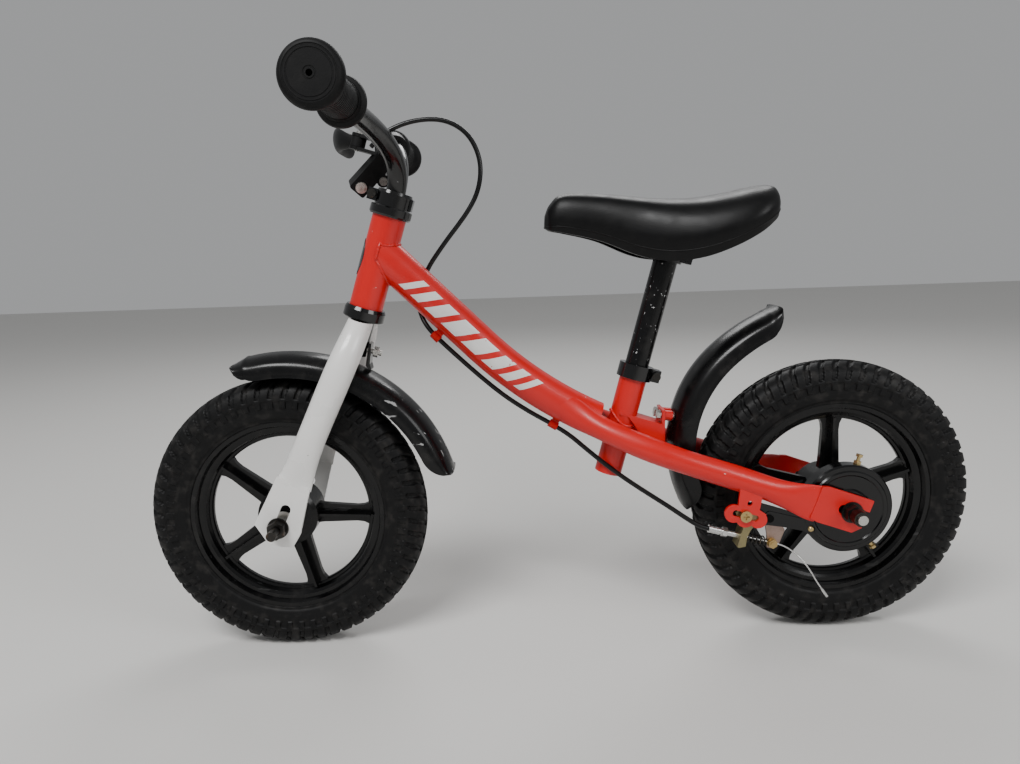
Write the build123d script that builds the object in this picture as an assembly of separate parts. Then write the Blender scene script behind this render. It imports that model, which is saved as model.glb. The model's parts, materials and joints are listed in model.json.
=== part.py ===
from build123d import *
from math import cos, pi, radians, sin, tan
import os

# A 12-inch balance bike. Millimetres. The front of the bike points to -X, its left side to -Y,
# +Z is up, and the origin is on the ground midway between the two axles.

# Wheels and stance
TYRE_RADIUS = 148.0
TYRE_WIDTH = 48.0
WHEELBASE = 585.0
RIM_OPENING_RADIUS = 84.8
RIM_FLANGE_RADIUS = 103.5
HUB_HALF_LENGTH = 33.0
FRONT_SPOKE_START = -3.0
REAR_SPOKE_START = 90.0
SPOKE_COUNT = 5
AXLE_RADIUS = 5.0
RELIEF_RADIUS, RELIEF_WIDTH = 4.3, 1.2
WASHER_THICKNESS, NUT_HEIGHT = 1.6, 8.4
RUNNING_GAP = 0.05
FACE_GAP = 0.3

# Steering axis: it leans back and meets the ground ahead of the origin
STEER_LEAN = 18.2
STEER_FOOT_X = -318.0
HEAD_BOTTOM = 387.0
HEAD_TOP = 482.0
HEAD_RADIUS = 17.3
CUP_RADIUS = 21.5
STEERER_RADIUS = 12.7
STEERER_BOTTOM, STEERER_TOP = 336.0, 506.0
COLLAR_TOP = 508.0

# Frame tubes
MAIN_TUBE_RADIUS = 19.05
SEAT_TUBE_RADIUS = 14.3
SEAT_POST_RADIUS = 12.5
TUBE_WALL = 1.6
SEAT_FOOT = (53.2, 0.0, 181.0)
SEAT_LEAN = 15.4
SEAT_TUBE_LENGTH = 117.0
SEAT_POST_FROM, SEAT_POST_TO = 46.0, 262.0
STAY_PITCH = 19.5

# Handlebar
BAR_RADIUS = 10.0
BAR_WALL = 1.6
GRIP_X, GRIP_Z = -180.0, 544.5
BAR_HALF_WIDTH = 242.5
GRIP_INNER_Y = 137.0
BAR_BEND_START = 504.0

# Fork and dropouts
FORK_PLATE_IN, FORK_PLATE_OUT = 48.0, 52.0
STAY_PLATE_IN, STAY_PLATE_OUT = 57.0, 61.0

# Mudguards: a deep channel bent to an arc about a centre of its own
GUARD_HALF_WIDTH = 28.5
GUARD_DEPTH = 24.5
GUARD_WALL = 2.2
GUARD_BOLT_RADIUS = 2.5
FRONT_GUARD = {"x": -285.0, "z": 146.0, "radius": 179.0, "from": 14.5, "to": 107.5}
REAR_GUARD = {"x": 262.0, "z": 208.0, "radius": 146.0, "from": 100.7, "to": 207.0}

# Rear band brake
DRUM_RADIUS = 35.0
BAND_RADIUS = 35.6
BAND_THICKNESS = 2.0
COVER_RADIUS = 46.5
COVER_FACE = -52.0
WIRE_Y = -46.0
WIRE_DROP = 14.9
ADJUSTER_START = (151.0, WIRE_Y, 129.8)
BRACKET_AT = 33.0
ANCHOR_AT = 68.3
WIRE_END = 73.6
BAND_Y = -42.0
BAND_SCREW_ANGLES = (75.4, -54.3)
COVER_SCREW_ANGLE = 208.3
ARM_PIVOT = (212.0, 141.0)
ARM_FACE = -44.9
PIVOT_RADIUS = 2.5
KNURL_COUNT = 12
REACTION_BOLT = (185.5, 146.5)
HOUSING_RADIUS = 2.5
WIRE_RADIUS = 0.8

# Brake lever on the right half of the handlebar
LEVER_CLAMP = (-165.6, 48.0, 532.9)
LEVER_PIVOT = (-205.0, 59.0, 541.0)
LEVER_SCREWS = {"end": (54.0, 0.0, 6.0), "clamp": (33.0, -13.0, 4.4)}

# Saddle: stations of x, crown height, height of the lower rim and half width
SADDLE_STATIONS = [
    (-8.5, 456, 441, 9), (-3, 466, 438.5, 17), (10, 475, 436, 22), (45, 474.5, 427, 28),
    (82, 470.5, 411.5, 38), (112, 467.5, 405.5, 50), (142, 467.5, 408.5, 60), (170, 471, 418, 65),
    (194, 475.5, 430, 64), (210, 477.5, 441, 55), (219.5, 472, 452, 38)]
SADDLE_SKIN = 9.0
SADDLE_CLAMP_X, SADDLE_CLAMP_Z = 127.0, 439.0

# Route of the cable housing, from the lever to the adjuster
HOUSING_FROM_LEVER = [
    (-187, 31, 532), (-176, 28, 542), (-162, 28, 550), (-146, 30, 555.5), (-129, 31, 558), (-112, 31, 557)]
HOUSING_LOOP = [
    (-97, 30, 551), (-85, 29, 541), (-77, 28, 527), (-73, 27, 511), (-74, 26, 494), (-79, 26, 478),
    (-88, 25, 463), (-99, 25, 449), (-110, 24.5, 436), (-121, 24.5, 422), (-132, 24.5, 407), (-140, 24, 391),
    (-144, 21.5, 375), (-143.5, 13, 361), (-137, 4, 347)]
HOUSING_ON_FRAME = [
    (-126, 0, 334), (-104, 0, 312), (-80, 0, 289), (-56, 0, 268), (-31, 0, 250.5), (-5, 0, 235),
    (13, -5, 223.5), (27, -10, 211.5), (42, -14.5, 199), (60, -19.5, 185), (79, -25, 172), (98, -31, 160),
    (114.5, -37, 149.8), (130, -43, 139.6), (142.3, -46, 132.12)]
GUIDE_ONE = ((-137, 4, 347), (-126, 0, 334), (-104, 0, 312))
GUIDE_TWO = ((-31, 0, 250.5), (-5, 0, 235), (13, -5, 223.5))

# Free tail of the inner wire, from the anchor bolt to its crimped cap
WIRE_TAIL = [
    (222.13, -46, 110.88), (228.5, -46.7, 108.9), (235, -49, 105.6), (241, -51.7, 101), (246.5, -53.9, 95.3),
    (251.5, -55.7, 88.7), (256, -57.5, 81.5), (260.5, -59, 73), (265.5, -60, 65.5)]

AXLE_Z = TYRE_RADIUS
REAR_X = WHEELBASE / 2
FRONT_X = -WHEELBASE / 2
STEER = Vector(sin(radians(STEER_LEAN)), 0, cos(radians(STEER_LEAN)))
AHEAD = Vector(-cos(radians(STEER_LEAN)), 0, sin(radians(STEER_LEAN)))
SIDE = Vector(0, 1, 0)
SEAT_UP = Vector(sin(radians(SEAT_LEAN)), 0, cos(radians(SEAT_LEAN)))

nodes = {}


# ---------------------------------------------------------------- helpers
def steer_point(height, ahead=0.0, side=0.0):
    """A point given by its height up the steering axis and its distance ahead of it."""
    return Vector(STEER_FOOT_X, 0, 0) + STEER * height + AHEAD * ahead + SIDE * side


def seat_point(height, back=0.0, side=0.0):
    """A point given by its height up the seat tube and its distance behind the tube's axis."""
    behind = Vector(cos(radians(SEAT_LEAN)), 0, -sin(radians(SEAT_LEAN)))
    return Vector(*SEAT_FOOT) + SEAT_UP * height + behind * back + SIDE * side


def rod(start, end, radius):
    """A round bar from one point to another."""
    start, end = Vector(*start), Vector(*end)
    length = (end - start).length
    base = Cylinder(radius, length, align=(Align.CENTER, Align.CENTER, Align.MIN))
    return Plane(origin=start, z_dir=end - start) * base


def pipe(start, end, outer, inner):
    return rod(start, end, outer) - rod(start, end, inner)


def across(x, z, y_from, y_to, radius):
    """A round bar parallel to the axles."""
    return rod((x, y_from, z), (x, y_to, z), radius)


def ring(x, z, y_from, y_to, outer, inner):
    return across(x, z, y_from, y_to, outer) - across(x, z, y_from, y_to, inner)


def hexagon(start, direction, height, across_flats):
    """A hexagonal nut or bolt head."""
    outline = RegularPolygon(across_flats / 2, 6, major_radius=False)
    return extrude(Plane(origin=Vector(*start), z_dir=Vector(*direction)) * outline, height)


def side_plate(points, y_from, y_to):
    """A flat plate in a plane parallel to XZ, given by its outline in (x, z)."""
    face = Plane.XZ.offset(-(y_from + y_to) / 2) * Polygon(*points, align=None)
    return extrude(face, abs(y_to - y_from) / 2, both=True)


def side_slot(x, z, angle, length, width, y_from, y_to):
    """A slot parallel to Y, to cut out of a side plate."""
    outline = Pos(x, z) * Rot(0, 0, angle) * SlotOverall(length, width)
    return extrude(Plane.XZ.offset(-(y_from + y_to) / 2) * outline, abs(y_to - y_from) / 2, both=True)


def turned(x, z, profile):
    """A body turned about an axis parallel to Y, from its (radius, y) outline."""
    base = Plane(origin=(x, 0, z), x_dir=(1, 0, 0), z_dir=(0, 0, 1))
    return revolve(base * Polygon(*profile, align=None), Axis((x, 0, z), (0, 1, 0)), 360)


def cross_bolt(centre, reach, radius, head_radius, nut_size):
    """A bolt parallel to Y through a point, with a round head on the left and a nut on the right."""
    near, far = centre - SIDE * reach, centre + SIDE * reach
    bolt = rod(near, far + SIDE * 4.4, radius) + rod(near, near - SIDE * 4, head_radius)
    return [bolt, hexagon(far, SIDE, 4, nut_size) - rod(centre, far + SIDE * 6, radius)]


def axle(x, left_end, right_end, nut_seats):
    """A round axle with a narrow thread relief just outside the nut of each listed plate face."""
    body = across(x, AXLE_Z, left_end, right_end, AXLE_RADIUS)
    for plate_face in nut_seats:
        out = 1 if plate_face > 0 else -1
        relief = plate_face + out * (WASHER_THICKNESS + NUT_HEIGHT)
        body = body - ring(x, AXLE_Z, relief, relief + out * RELIEF_WIDTH, AXLE_RADIUS + 1, RELIEF_RADIUS)
    return body


def axle_nuts(x, plate_face):
    """A washer and a nut on the outer face of each dropout plate."""
    hardware = []
    for side in (-1, 1):
        nut_face = plate_face + WASHER_THICKNESS
        hardware.append(ring(x, AXLE_Z, side * plate_face, side * nut_face, 11, AXLE_RADIUS))
        nut = hexagon((x, side * nut_face, AXLE_Z), (0, side, 0), NUT_HEIGHT, 17)
        hardware.append(nut - across(x, AXLE_Z, -90, 90, AXLE_RADIUS))
    return hardware


def turned_on_steerer(profile):
    """A body turned about the steering axis, from its (radius, height) outline."""
    base = Plane(origin=steer_point(0), x_dir=AHEAD, z_dir=AHEAD.cross(STEER))
    return revolve(base * Polygon(*profile, align=None), Axis(steer_point(0), STEER), 360)


def swept(path, radius):
    return sweep(Plane(origin=path @ 0, z_dir=path % 0) * Circle(radius), path=path)


def lofted(stations):
    """A tapering arm through stations of (x, y, z, half height, half thickness)."""
    points = [Vector(*s[:3]) for s in stations]
    faces = []
    for i, station in enumerate(stations):
        along = (points[min(i + 1, len(points) - 1)] - points[max(i - 1, 0)]).normalized()
        upright = along.cross(SIDE).normalized()
        plane = Plane(origin=points[i], x_dir=upright, z_dir=along)
        faces.append(plane * Ellipse(station[3], station[4]))
    return loft(faces)


def largest(shape):
    return max(shape.solids(), key=lambda solid: solid.volume)


def mirrored(shape):
    return mirror(shape, Plane.XZ)


def add(name, *shapes):
    """Keep a node: one solid, or a group of separate solids."""
    solids = [solid for shape in shapes for solid in shape.solids()]
    nodes[name] = solids[0] if len(solids) == 1 else Compound(children=solids)


def route(points):
    """A path of straight runs joined by arcs as large as its runs allow."""
    vectors = [Vector(*p) for p in points]
    radii = []
    for before, corner, after in zip(vectors, vectors[1:], vectors[2:]):
        turn = (corner - before).get_angle(after - corner)
        shorter = min((corner - before).length, (after - corner).length)
        radii.append(0.45 * shorter / tan(radians(turn / 2)))
    return FilletPolyline(*vectors, radius=radii), radii


def cord_tube(name, points, radius):
    path, radii = route(points)
    tube = swept(path, radius)
    print(name, "length", round(path.length, 1), "tightest", round(min(radii), 1),
          "volume ratio", round(tube.volume / (pi * radius**2 * path.length), 4))
    return tube


# ---------------------------------------------------------------- wheels
def rim(x, first_spoke):
    """The moulded wheel: a channel for the tyre, five ribbed spokes and a stepped hub."""
    channel = turned(x, AXLE_Z, [
        (RIM_OPENING_RADIUS, -2), (86, -3.6), (88.5, -4.2), (90.5, -9.5), (93.5, -11), (97, -11.6),
        (99, -18), (RIM_FLANGE_RADIUS, -18),
        (RIM_FLANGE_RADIUS, -15.2), (98.8, -14), (98.8, 14), (RIM_FLANGE_RADIUS, 15.2),
        (RIM_FLANGE_RADIUS, 18),
        (99, 18), (97, 11.6), (93.5, 11), (90.5, 9.5), (88.5, 4.2), (86, 3.6), (RIM_OPENING_RADIUS, 2)])
    hub = turned(x, AXLE_Z, [
        (0, -HUB_HALF_LENGTH), (17, -HUB_HALF_LENGTH), (19, -31), (19, -22), (28, -20), (32, -17), (32, 17),
        (28, 20), (19, 22), (19, 31), (17, HUB_HALF_LENGTH), (0, HUB_HALF_LENGTH)])
    body = channel + hub
    for i in range(SPOKE_COUNT):
        angle = radians(first_spoke + i * 360 / SPOKE_COUNT)
        along, flank = (cos(angle), sin(angle)), (-sin(angle), cos(angle))

        def corner(radius, half):
            return (x + along[0] * radius + flank[0] * half,
                    AXLE_Z + along[1] * radius + flank[1] * half)

        edge = [(25, 12), (36, 10.6), (72, 8.8), (79, 9.6), (86.5, 13)]
        blade = [corner(r, -half) for r, half in edge] + [corner(r, half) for r, half in reversed(edge)]
        rib = [corner(25, -1.4), corner(87, -1.4), corner(87, 1.4), corner(25, 1.4)]
        body = body + side_plate(blade, -3.2, 3.2) + side_plate(rib, -12.5, 12.5)
    bore = across(x, AXLE_Z, -HUB_HALF_LENGTH - 1, HUB_HALF_LENGTH + 1, AXLE_RADIUS + 1.5)
    for side in (-1, 1):
        body = body - across(x, AXLE_Z, side * HUB_HALF_LENGTH, side * (HUB_HALF_LENGTH - 8), 11)
    return body - bore


def tyre(x):
    """A foam tyre, squared at the bead, widest in the side wall and crowned at the tread."""
    half = TYRE_WIDTH / 2
    outline = [(99, -13.8), (103.6, -15), (103.8, -18.4), (108, -21.5), (116, -23.6), (125, -half),
               (133, -23.2), (139.5, -20.6), (144, -15.5), (146.8, -9), (TYRE_RADIUS, 0)]
    outline += [(radius, -y) for radius, y in reversed(outline[:-1])]
    return turned(x, AXLE_Z, outline)


def wheel_bearings(x):
    """One plain bearing in each end of the hub."""
    bore = AXLE_RADIUS + RUNNING_GAP
    return [ring(x, AXLE_Z, side * HUB_HALF_LENGTH, side * (HUB_HALF_LENGTH - 8), 11, bore)
            for side in (-1, 1)]


def spacers(x, inner_face, outer_face_left, outer_face_right):
    """The sleeves between the bearings and the plates that hold the axle."""
    return [ring(x, AXLE_Z, -inner_face, -outer_face_left, 8, AXLE_RADIUS),
            ring(x, AXLE_Z, inner_face, outer_face_right, 8, AXLE_RADIUS)]


def make_wheels():
    add("front_rim", rim(FRONT_X, FRONT_SPOKE_START))
    add("front_tyre", tyre(FRONT_X))
    add("front_wheel_bearings", *wheel_bearings(FRONT_X))
    add("rear_rim", rim(REAR_X, REAR_SPOKE_START))
    add("rear_tyre", tyre(REAR_X))
    add("rear_wheel_bearings", *wheel_bearings(REAR_X))
    # The drum is a steel cup on the left end of the rear hub.
    add("brake_drum", turned(REAR_X, AXLE_Z, [
        (19, -24.5), (DRUM_RADIUS, -24.5), (DRUM_RADIUS, -46), (31.5, -46), (31.5, -27.5), (19, -27.5)]))


# ---------------------------------------------------------------- frame
def solid_head():
    return rod(steer_point(HEAD_BOTTOM), steer_point(HEAD_TOP), HEAD_RADIUS)


def solid_seat_tube():
    return rod(SEAT_FOOT, seat_point(SEAT_TUBE_LENGTH), SEAT_TUBE_RADIUS)


def main_tube_path():
    """Two straight runs joined by one long bend."""
    return FilletPolyline((-188, 0, 433), (-42, 0, 287), (66, 0, 222), radius=430)


def stay_stations():
    """The left chainstay: round at the main tube, flattened towards the dropout."""
    return [(4, -7, 259, 12.7, 12.4), (38, -21, 238, 12.7, 12.4), (74, -36, 222, 12.7, 12.4),
            (110, -44, 208, 12.7, 12.4), (152, -46.5, 193, 12.7, 12.4), (198, -48.5, 176.8, 12.8, 11.8),
            (222, -52.5, 168.3, 13.5, 8.4), (240, -56.2, 162.4, 16.4, 4.1), (260, -58.6, 156.5, 19.0, 2.2)]


def stay_plate_point(along, up):
    """A point of the dropout plate, from the axle along and square to the chainstay."""
    pitch = radians(STAY_PITCH)
    return (REAR_X + along * cos(pitch) + up * sin(pitch), AXLE_Z - along * sin(pitch) + up * cos(pitch))


def left_stay(main_solid):
    outline = [stay_plate_point(*p) for p in [
        (-38, -19), (-30, -20.5), (8, -20.5), (16, -13), (17.5, 5.1), (17.5, 17.5), (-31, 18), (-38, 16)]]
    plate = side_plate(outline, -STAY_PLATE_OUT, -STAY_PLATE_IN)
    slot_centre = stay_plate_point(8, 0)
    slot = side_slot(*slot_centre, -STAY_PITCH, 44, 2 * AXLE_RADIUS + 0.2,
                     -STAY_PLATE_OUT - 1, -STAY_PLATE_IN + 1)
    arm = lofted(stay_stations())
    bore = lofted([(x, y, z, a - TUBE_WALL, b - TUBE_WALL) for x, y, z, a, b in stay_stations()[:-2]])
    joined = arm - bore - main_solid - solid_seat_tube()
    joined = largest(joined - Pos(0, 500, 0) * Box(2000, 1000, 2000))
    return joined + plate - slot


def mudguard_bridge(stays, shell):
    """A folded channel between the chainstays, with an upright tab for the rear mudguard."""
    top = side_plate([(64, 250), (112, 233.5), (112, 230.5), (64, 247)], -15, 15)
    webs = side_plate([(72, 247), (110, 234), (112, 214), (88, 222)], -15, -12.5)
    webs = webs + side_plate([(72, 247), (110, 234), (112, 214), (88, 222)], 12.5, 15)
    feet = [side_plate([(86, 226), (110, 217), (110, 214.5), (86, 223.5)], s * 13, s * 34) for s in (-1, 1)]
    tab = side_plate([(109, 213), (112, 213), (112.5, 250), (109.5, 250)], -15, 15)
    body = top + webs + tab + feet[0] + feet[1] - solid_seat_tube() - stays[0] - stays[1]
    for start, end in guard_bolt_lines():
        body = body + rod(start + (end - start) * 0.4, start + (end - start) * 0.7, 5.5)
    body = body - shell
    for start, end in guard_bolt_lines():
        body = body - rod(start, end, GUARD_BOLT_RADIUS)
    return largest(body)


def guard_bolt_lines():
    """The lines of the two bolts that hold the rear mudguard to its bridge."""
    return [(Vector(99, y, 245), Vector(132, y, 240.6)) for y in (-8, 8)]


def brake_tab(stay):
    """The lobed tab under the left chainstay, with a slot for the brake's reaction bolt."""
    y_from, y_to = -57.5, -54.5
    outline = [(180, 176), (203, 168), (200, 152), (207, 147), (199, 134), (178, 140), (178, 156)]
    tab = side_plate(outline, y_from, y_to)
    for x, z, radius in ((174, 149, 9.5), (199, 141.5, 9.0), (186, 144, 10.0)):
        tab = tab + across(x, z, y_from, y_to, radius)
    slot = side_slot(186, 146.35, -17, 28, 6.4, y_from - 1, y_to + 1)
    spare = across(190, 159.5, y_from - 1, y_to + 1, 2.5)
    return largest(tab - slot - spare - stay)


def cable_guides(main_solid, housing):
    """Two open clips under the main tube that hold the cable housing."""
    clips = []
    for before, place, after in (GUIDE_ONE, GUIDE_TWO):
        direction = (Vector(*after) - Vector(*before)).normalized()
        centre = Vector(*place)
        start, end = centre - direction * 5, centre + direction * 5
        away = direction.cross(SIDE).normalized()
        if away.Z < 0:
            away = away * -1
        foot = Plane(origin=centre + away * 5.5, x_dir=direction, z_dir=away) * Box(8, 4, 8)
        clip = rod(start, end, 4.3) + foot - housing - main_solid
        clips.append(largest(clip))
    return clips


def seat_clamp():
    """A split collar on the seat tube, its ears at the back closed by one bolt."""
    body = rod(seat_point(106), seat_point(121), 18.3)
    ear_plane = Plane(origin=seat_point(113.5, 19.5), x_dir=seat_point(0, 1) - seat_point(0), z_dir=SEAT_UP)
    body = body + ear_plane * Box(13, 15, 13)
    body = body - rod(seat_point(105), seat_point(SEAT_TUBE_LENGTH), SEAT_TUBE_RADIUS)
    body = body - rod(seat_point(105), seat_point(122), SEAT_POST_RADIUS + 0.1)
    body = body - ear_plane * Box(30, 2.5, 20)
    return largest(body - rod(seat_point(113.5, 21.3, -12), seat_point(113.5, 21.3, 12), 2.6))


def make_frame():
    head = solid_head()
    seat = solid_seat_tube()
    main_solid = swept(main_tube_path(), MAIN_TUBE_RADIUS)
    main_bore = swept(main_tube_path(), MAIN_TUBE_RADIUS - TUBE_WALL)
    add("head_tube", pipe(steer_point(HEAD_BOTTOM), steer_point(HEAD_TOP), HEAD_RADIUS, 15.8))
    add("main_tube", largest(main_solid - main_bore - head - seat))
    post_bore = rod(seat_point(-1), seat_point(SEAT_TUBE_LENGTH + 1), SEAT_POST_RADIUS + RUNNING_GAP)
    add("seat_tube", seat - post_bore)
    stay = left_stay(main_solid)
    add("chainstay_left", stay)
    add("chainstay_right", mirrored(stay))
    rear_guard = guard(REAR_GUARD)
    add("mudguard_bridge", mudguard_bridge((stay, mirrored(stay)), rear_guard))
    add("brake_tab", brake_tab(stay))
    housing = cord_tube("cable_housing_frame", housing_on_frame(), HOUSING_RADIUS)
    add("cable_housing_frame", housing)
    add("cable_guides", *cable_guides(main_solid, housing))
    lower_cup = turned_on_steerer([
        (13.2, 374), (20.5, 374), (CUP_RADIUS, 375), (CUP_RADIUS, 383.5), (20, HEAD_BOTTOM),
        (13.2, HEAD_BOTTOM)])
    upper_cup = turned_on_steerer([
        (13.2, HEAD_TOP), (20, HEAD_TOP), (CUP_RADIUS, 484), (CUP_RADIUS, 491), (20.5, 492), (13.2, 492)])
    add("headset_cups", lower_cup, upper_cup)
    add("headset_bearings", *[
        pipe(steer_point(low), steer_point(low + 9), 15.8, STEERER_RADIUS + RUNNING_GAP)
        for low in (HEAD_BOTTOM, HEAD_TOP - 9)])
    add("seat_clamp", seat_clamp())
    add("seat_clamp_bolt", *cross_bolt(seat_point(113.5, 21.3), 7.5, 2.5, 4.5, 8))
    fasteners = []
    drilled = rear_guard
    for start, end in guard_bolt_lines():
        along = (end - start).normalized()
        head = start + along * 9.2
        fasteners.append(rod(head - along * 2, end, GUARD_BOLT_RADIUS) + hexagon(head, along * -1, 3.6, 9))
        drilled = drilled - rod(start, end, GUARD_BOLT_RADIUS)
        nut = hexagon(start + along * 23, along, 7, 9) - rod(start, end + along, GUARD_BOLT_RADIUS)
        fasteners.append(largest(nut - rear_guard))
    add("rear_mudguard", largest(drilled))
    add("rear_mudguard_bolts", *fasteners)


def make_rear_axle():
    add("rear_axle", axle(REAR_X, -86, 80, [STAY_PLATE_OUT]))
    sleeves = spacers(REAR_X, HUB_HALF_LENGTH + FACE_GAP, 49, STAY_PLATE_IN)
    add("rear_axle_spacers", *sleeves)
    sleeve = ring(REAR_X, AXLE_Z, -71, -83, 7.6, AXLE_RADIUS)
    add("rear_axle_nuts", *axle_nuts(REAR_X, STAY_PLATE_OUT), sleeve)


# ---------------------------------------------------------------- fork and steering
def fork_leg_stations():
    """The left fork leg: it leaves the crown, clears the tyre and flattens to the dropout."""
    return [(-199.5, -7, 360, 12.6, 12.4), (-203.5, -22, 346, 13.2, 12.9), (-211.5, -36, 326, 14.4, 13.0),
            (-221.5, -44, 304, 14.9, 11.6), (-235, -46, 276, 14.8, 11.4), (-249.5, -47, 246, 14.6, 10.4),
            (-262.5, -48.2, 217, 15.4, 7.4), (-273.5, -49.6, 192, 18.4, 2.6)]


def fork_leg():
    arm = lofted(fork_leg_stations())
    bore = lofted([(x, y, z, a - TUBE_WALL, b - TUBE_WALL) for x, y, z, a, b in fork_leg_stations()[:-1]])
    outline = [(-257, 188), (-289, 203), (-316.5, 153), (-305, 133), (-292, 127.5), (-279, 126.5),
               (-270.5, 140)]
    plate = side_plate(outline, -FORK_PLATE_OUT, -FORK_PLATE_IN)
    slot = side_slot(FRONT_X + 4.5, AXLE_Z + 9.5, 64.6, 32, 2 * AXLE_RADIUS + 0.2,
                     -FORK_PLATE_OUT - 1, -FORK_PLATE_IN + 1)
    cutter = rod(steer_point(300), steer_point(HEAD_BOTTOM), STEERER_RADIUS)
    above = rod(steer_point(HEAD_BOTTOM - 13.3), steer_point(HEAD_BOTTOM + 40), 60)
    arm = arm - bore - cutter - above - Pos(0, 500, 0) * Box(2000, 1000, 2000)
    bolt_hole = rod(steer_point(344, -40), steer_point(344, 40), 3.1)
    return largest(arm - bolt_hole) + plate - slot


def guard(spec, depth=GUARD_DEPTH):
    """A mudguard: a round-backed channel revolved about an axis parallel to Y."""
    base = Plane(origin=(spec["x"], 0, spec["z"]), x_dir=(1, 0, 0), z_dir=(0, 0, 1))

    def arch(radius, half, low):
        shoulder = (radius - 0.34 * (radius - low), half * 0.86)
        return Spline((low, -half), (shoulder[0], -shoulder[1]), (radius, 0), shoulder, (low, half),
                      tangents=[(1, 0), (-1, 0)])

    outer_radius, low = spec["radius"], spec["radius"] - depth
    outer = arch(outer_radius, GUARD_HALF_WIDTH, low)
    inner = arch(outer_radius - GUARD_WALL, GUARD_HALF_WIDTH - GUARD_WALL, low)
    ends = [Line((low, -GUARD_HALF_WIDTH), (low, -GUARD_HALF_WIDTH + GUARD_WALL)),
            Line((low, GUARD_HALF_WIDTH), (low, GUARD_HALF_WIDTH - GUARD_WALL))]
    face = make_face([outer, inner, *ends])
    axis = Axis((spec["x"], 0, spec["z"]), (0, 1, 0))
    body = revolve(base * face, axis, spec["to"] - spec["from"]).rotate(axis, -spec["to"])
    for tip, inward in ((spec["from"], 1), (spec["to"], -1)):
        corner = [on_guard(spec, tip - inward * 4, 4), on_guard(spec, tip, 4), on_guard(spec, tip, -3),
                  on_guard(spec, tip + inward * 8, -depth - 3), on_guard(spec, tip - inward * 4, -depth - 3)]
        body = body - side_plate([(x, z) for x, _, z in corner], -60, 60)
    return body


def on_guard(spec, angle, lift=0.0):
    """A point on the crown of a mudguard, at an angle about its centre."""
    radius = spec["radius"] + lift
    return (spec["x"] + radius * cos(radians(angle)), 0, spec["z"] + radius * sin(radians(angle)))


def handlebar():
    """Two bent halves that leave one post together and level out at the grips."""
    base = steer_point(BAR_BEND_START)
    inner_end = Vector(GRIP_X, -GRIP_INNER_Y, GRIP_Z)
    outer_end = Vector(GRIP_X, -BAR_HALF_WIDTH + 6, GRIP_Z)
    post = Line(steer_point(452), base)
    bend = Bezier(base, base + STEER * 52, inner_end + SIDE * 68, inner_end)
    run = Line(inner_end, outer_end)
    path = Wire([post, bend, run])
    far_half = Pos(0, 500, 0) * Box(2000, 1000, 2000)
    half = swept(path, BAR_RADIUS) - swept(path, BAR_RADIUS - BAR_WALL) - far_half
    return half + mirrored(half)


def grip():
    """The left grip: a mushroom end, a waisted barrel and an inner flange."""
    end = -BAR_HALF_WIDTH
    profile = [(0, end), (18.5, end), (21.8, end + 1.2), (23.6, end + 4), (24, end + 7), (23.2, end + 10),
               (20, end + 12.5), (16.8, end + 16), (15.6, end + 24), (15.2, -190), (15.4, -165), (16, -150),
               (17.5, -145.5), (20.6, -144), (21.4, -141.5), (20.6, -138.5), (16.5, -GRIP_INNER_Y),
               (0, -GRIP_INNER_Y)]
    body = turned(GRIP_X, GRIP_Z, profile)
    bore = across(GRIP_X, GRIP_Z, -BAR_HALF_WIDTH + 6, -GRIP_INNER_Y + 1, BAR_RADIUS)
    vent = across(GRIP_X, GRIP_Z, -BAR_HALF_WIDTH - 1, -BAR_HALF_WIDTH + 7, 2.4)
    return body - bore - vent


def clamp_collar():
    """The collar that grips the slotted top of the steerer round the handlebar post."""
    body = turned_on_steerer([
        (BAR_RADIUS + 0.2, 492.3), (18.4, 492.3), (18.4, 505), (17.2, COLLAR_TOP),
        (BAR_RADIUS + 0.2, COLLAR_TOP)])
    ear_plane = Plane(origin=steer_point(500, 20), x_dir=AHEAD, z_dir=STEER)
    tail_plane = Plane(origin=steer_point(499, -18), x_dir=AHEAD, z_dir=STEER)
    body = body + ear_plane * Box(12, 17, 12) + tail_plane * Box(4, 12, 12)
    body = body - rod(steer_point(480), steer_point(STEERER_TOP + 0.5), STEERER_RADIUS)
    body = body - rod(steer_point(480), steer_point(520), BAR_RADIUS + 0.2)
    body = body - Plane(origin=steer_point(500, 22), x_dir=AHEAD, z_dir=STEER) * Box(24, 2.4, 24)
    return largest(body - rod(steer_point(500, 21.5, -12), steer_point(500, 21.5, 12), 2.6))


def make_steering():
    bore = BAR_RADIUS + RUNNING_GAP
    steerer = pipe(steer_point(STEERER_BOTTOM), steer_point(STEERER_TOP), STEERER_RADIUS, bore)
    crown_hole = rod(steer_point(344, -40), steer_point(344, 40), 3.1)
    add("fork_steerer", steerer - crown_hole)
    leg = fork_leg()
    add("fork_leg_left", leg)
    add("fork_leg_right", mirrored(leg))
    add("handlebar_clamp", clamp_collar())
    add("handlebar_clamp_bolt", *cross_bolt(steer_point(500, 21.5), 8.5, 2.5, 4.4, 8))
    front_guard = guard(FRONT_GUARD)
    add("front_mudguard", front_guard)
    make_front_guard_bracket(front_guard)
    add("front_axle", axle(FRONT_X, -77, 77, [-FORK_PLATE_OUT, FORK_PLATE_OUT]))
    add("front_axle_spacers", *spacers(FRONT_X, HUB_HALF_LENGTH + FACE_GAP, FORK_PLATE_IN, FORK_PLATE_IN))
    add("front_axle_nuts", *axle_nuts(FRONT_X, FORK_PLATE_OUT))


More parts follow.
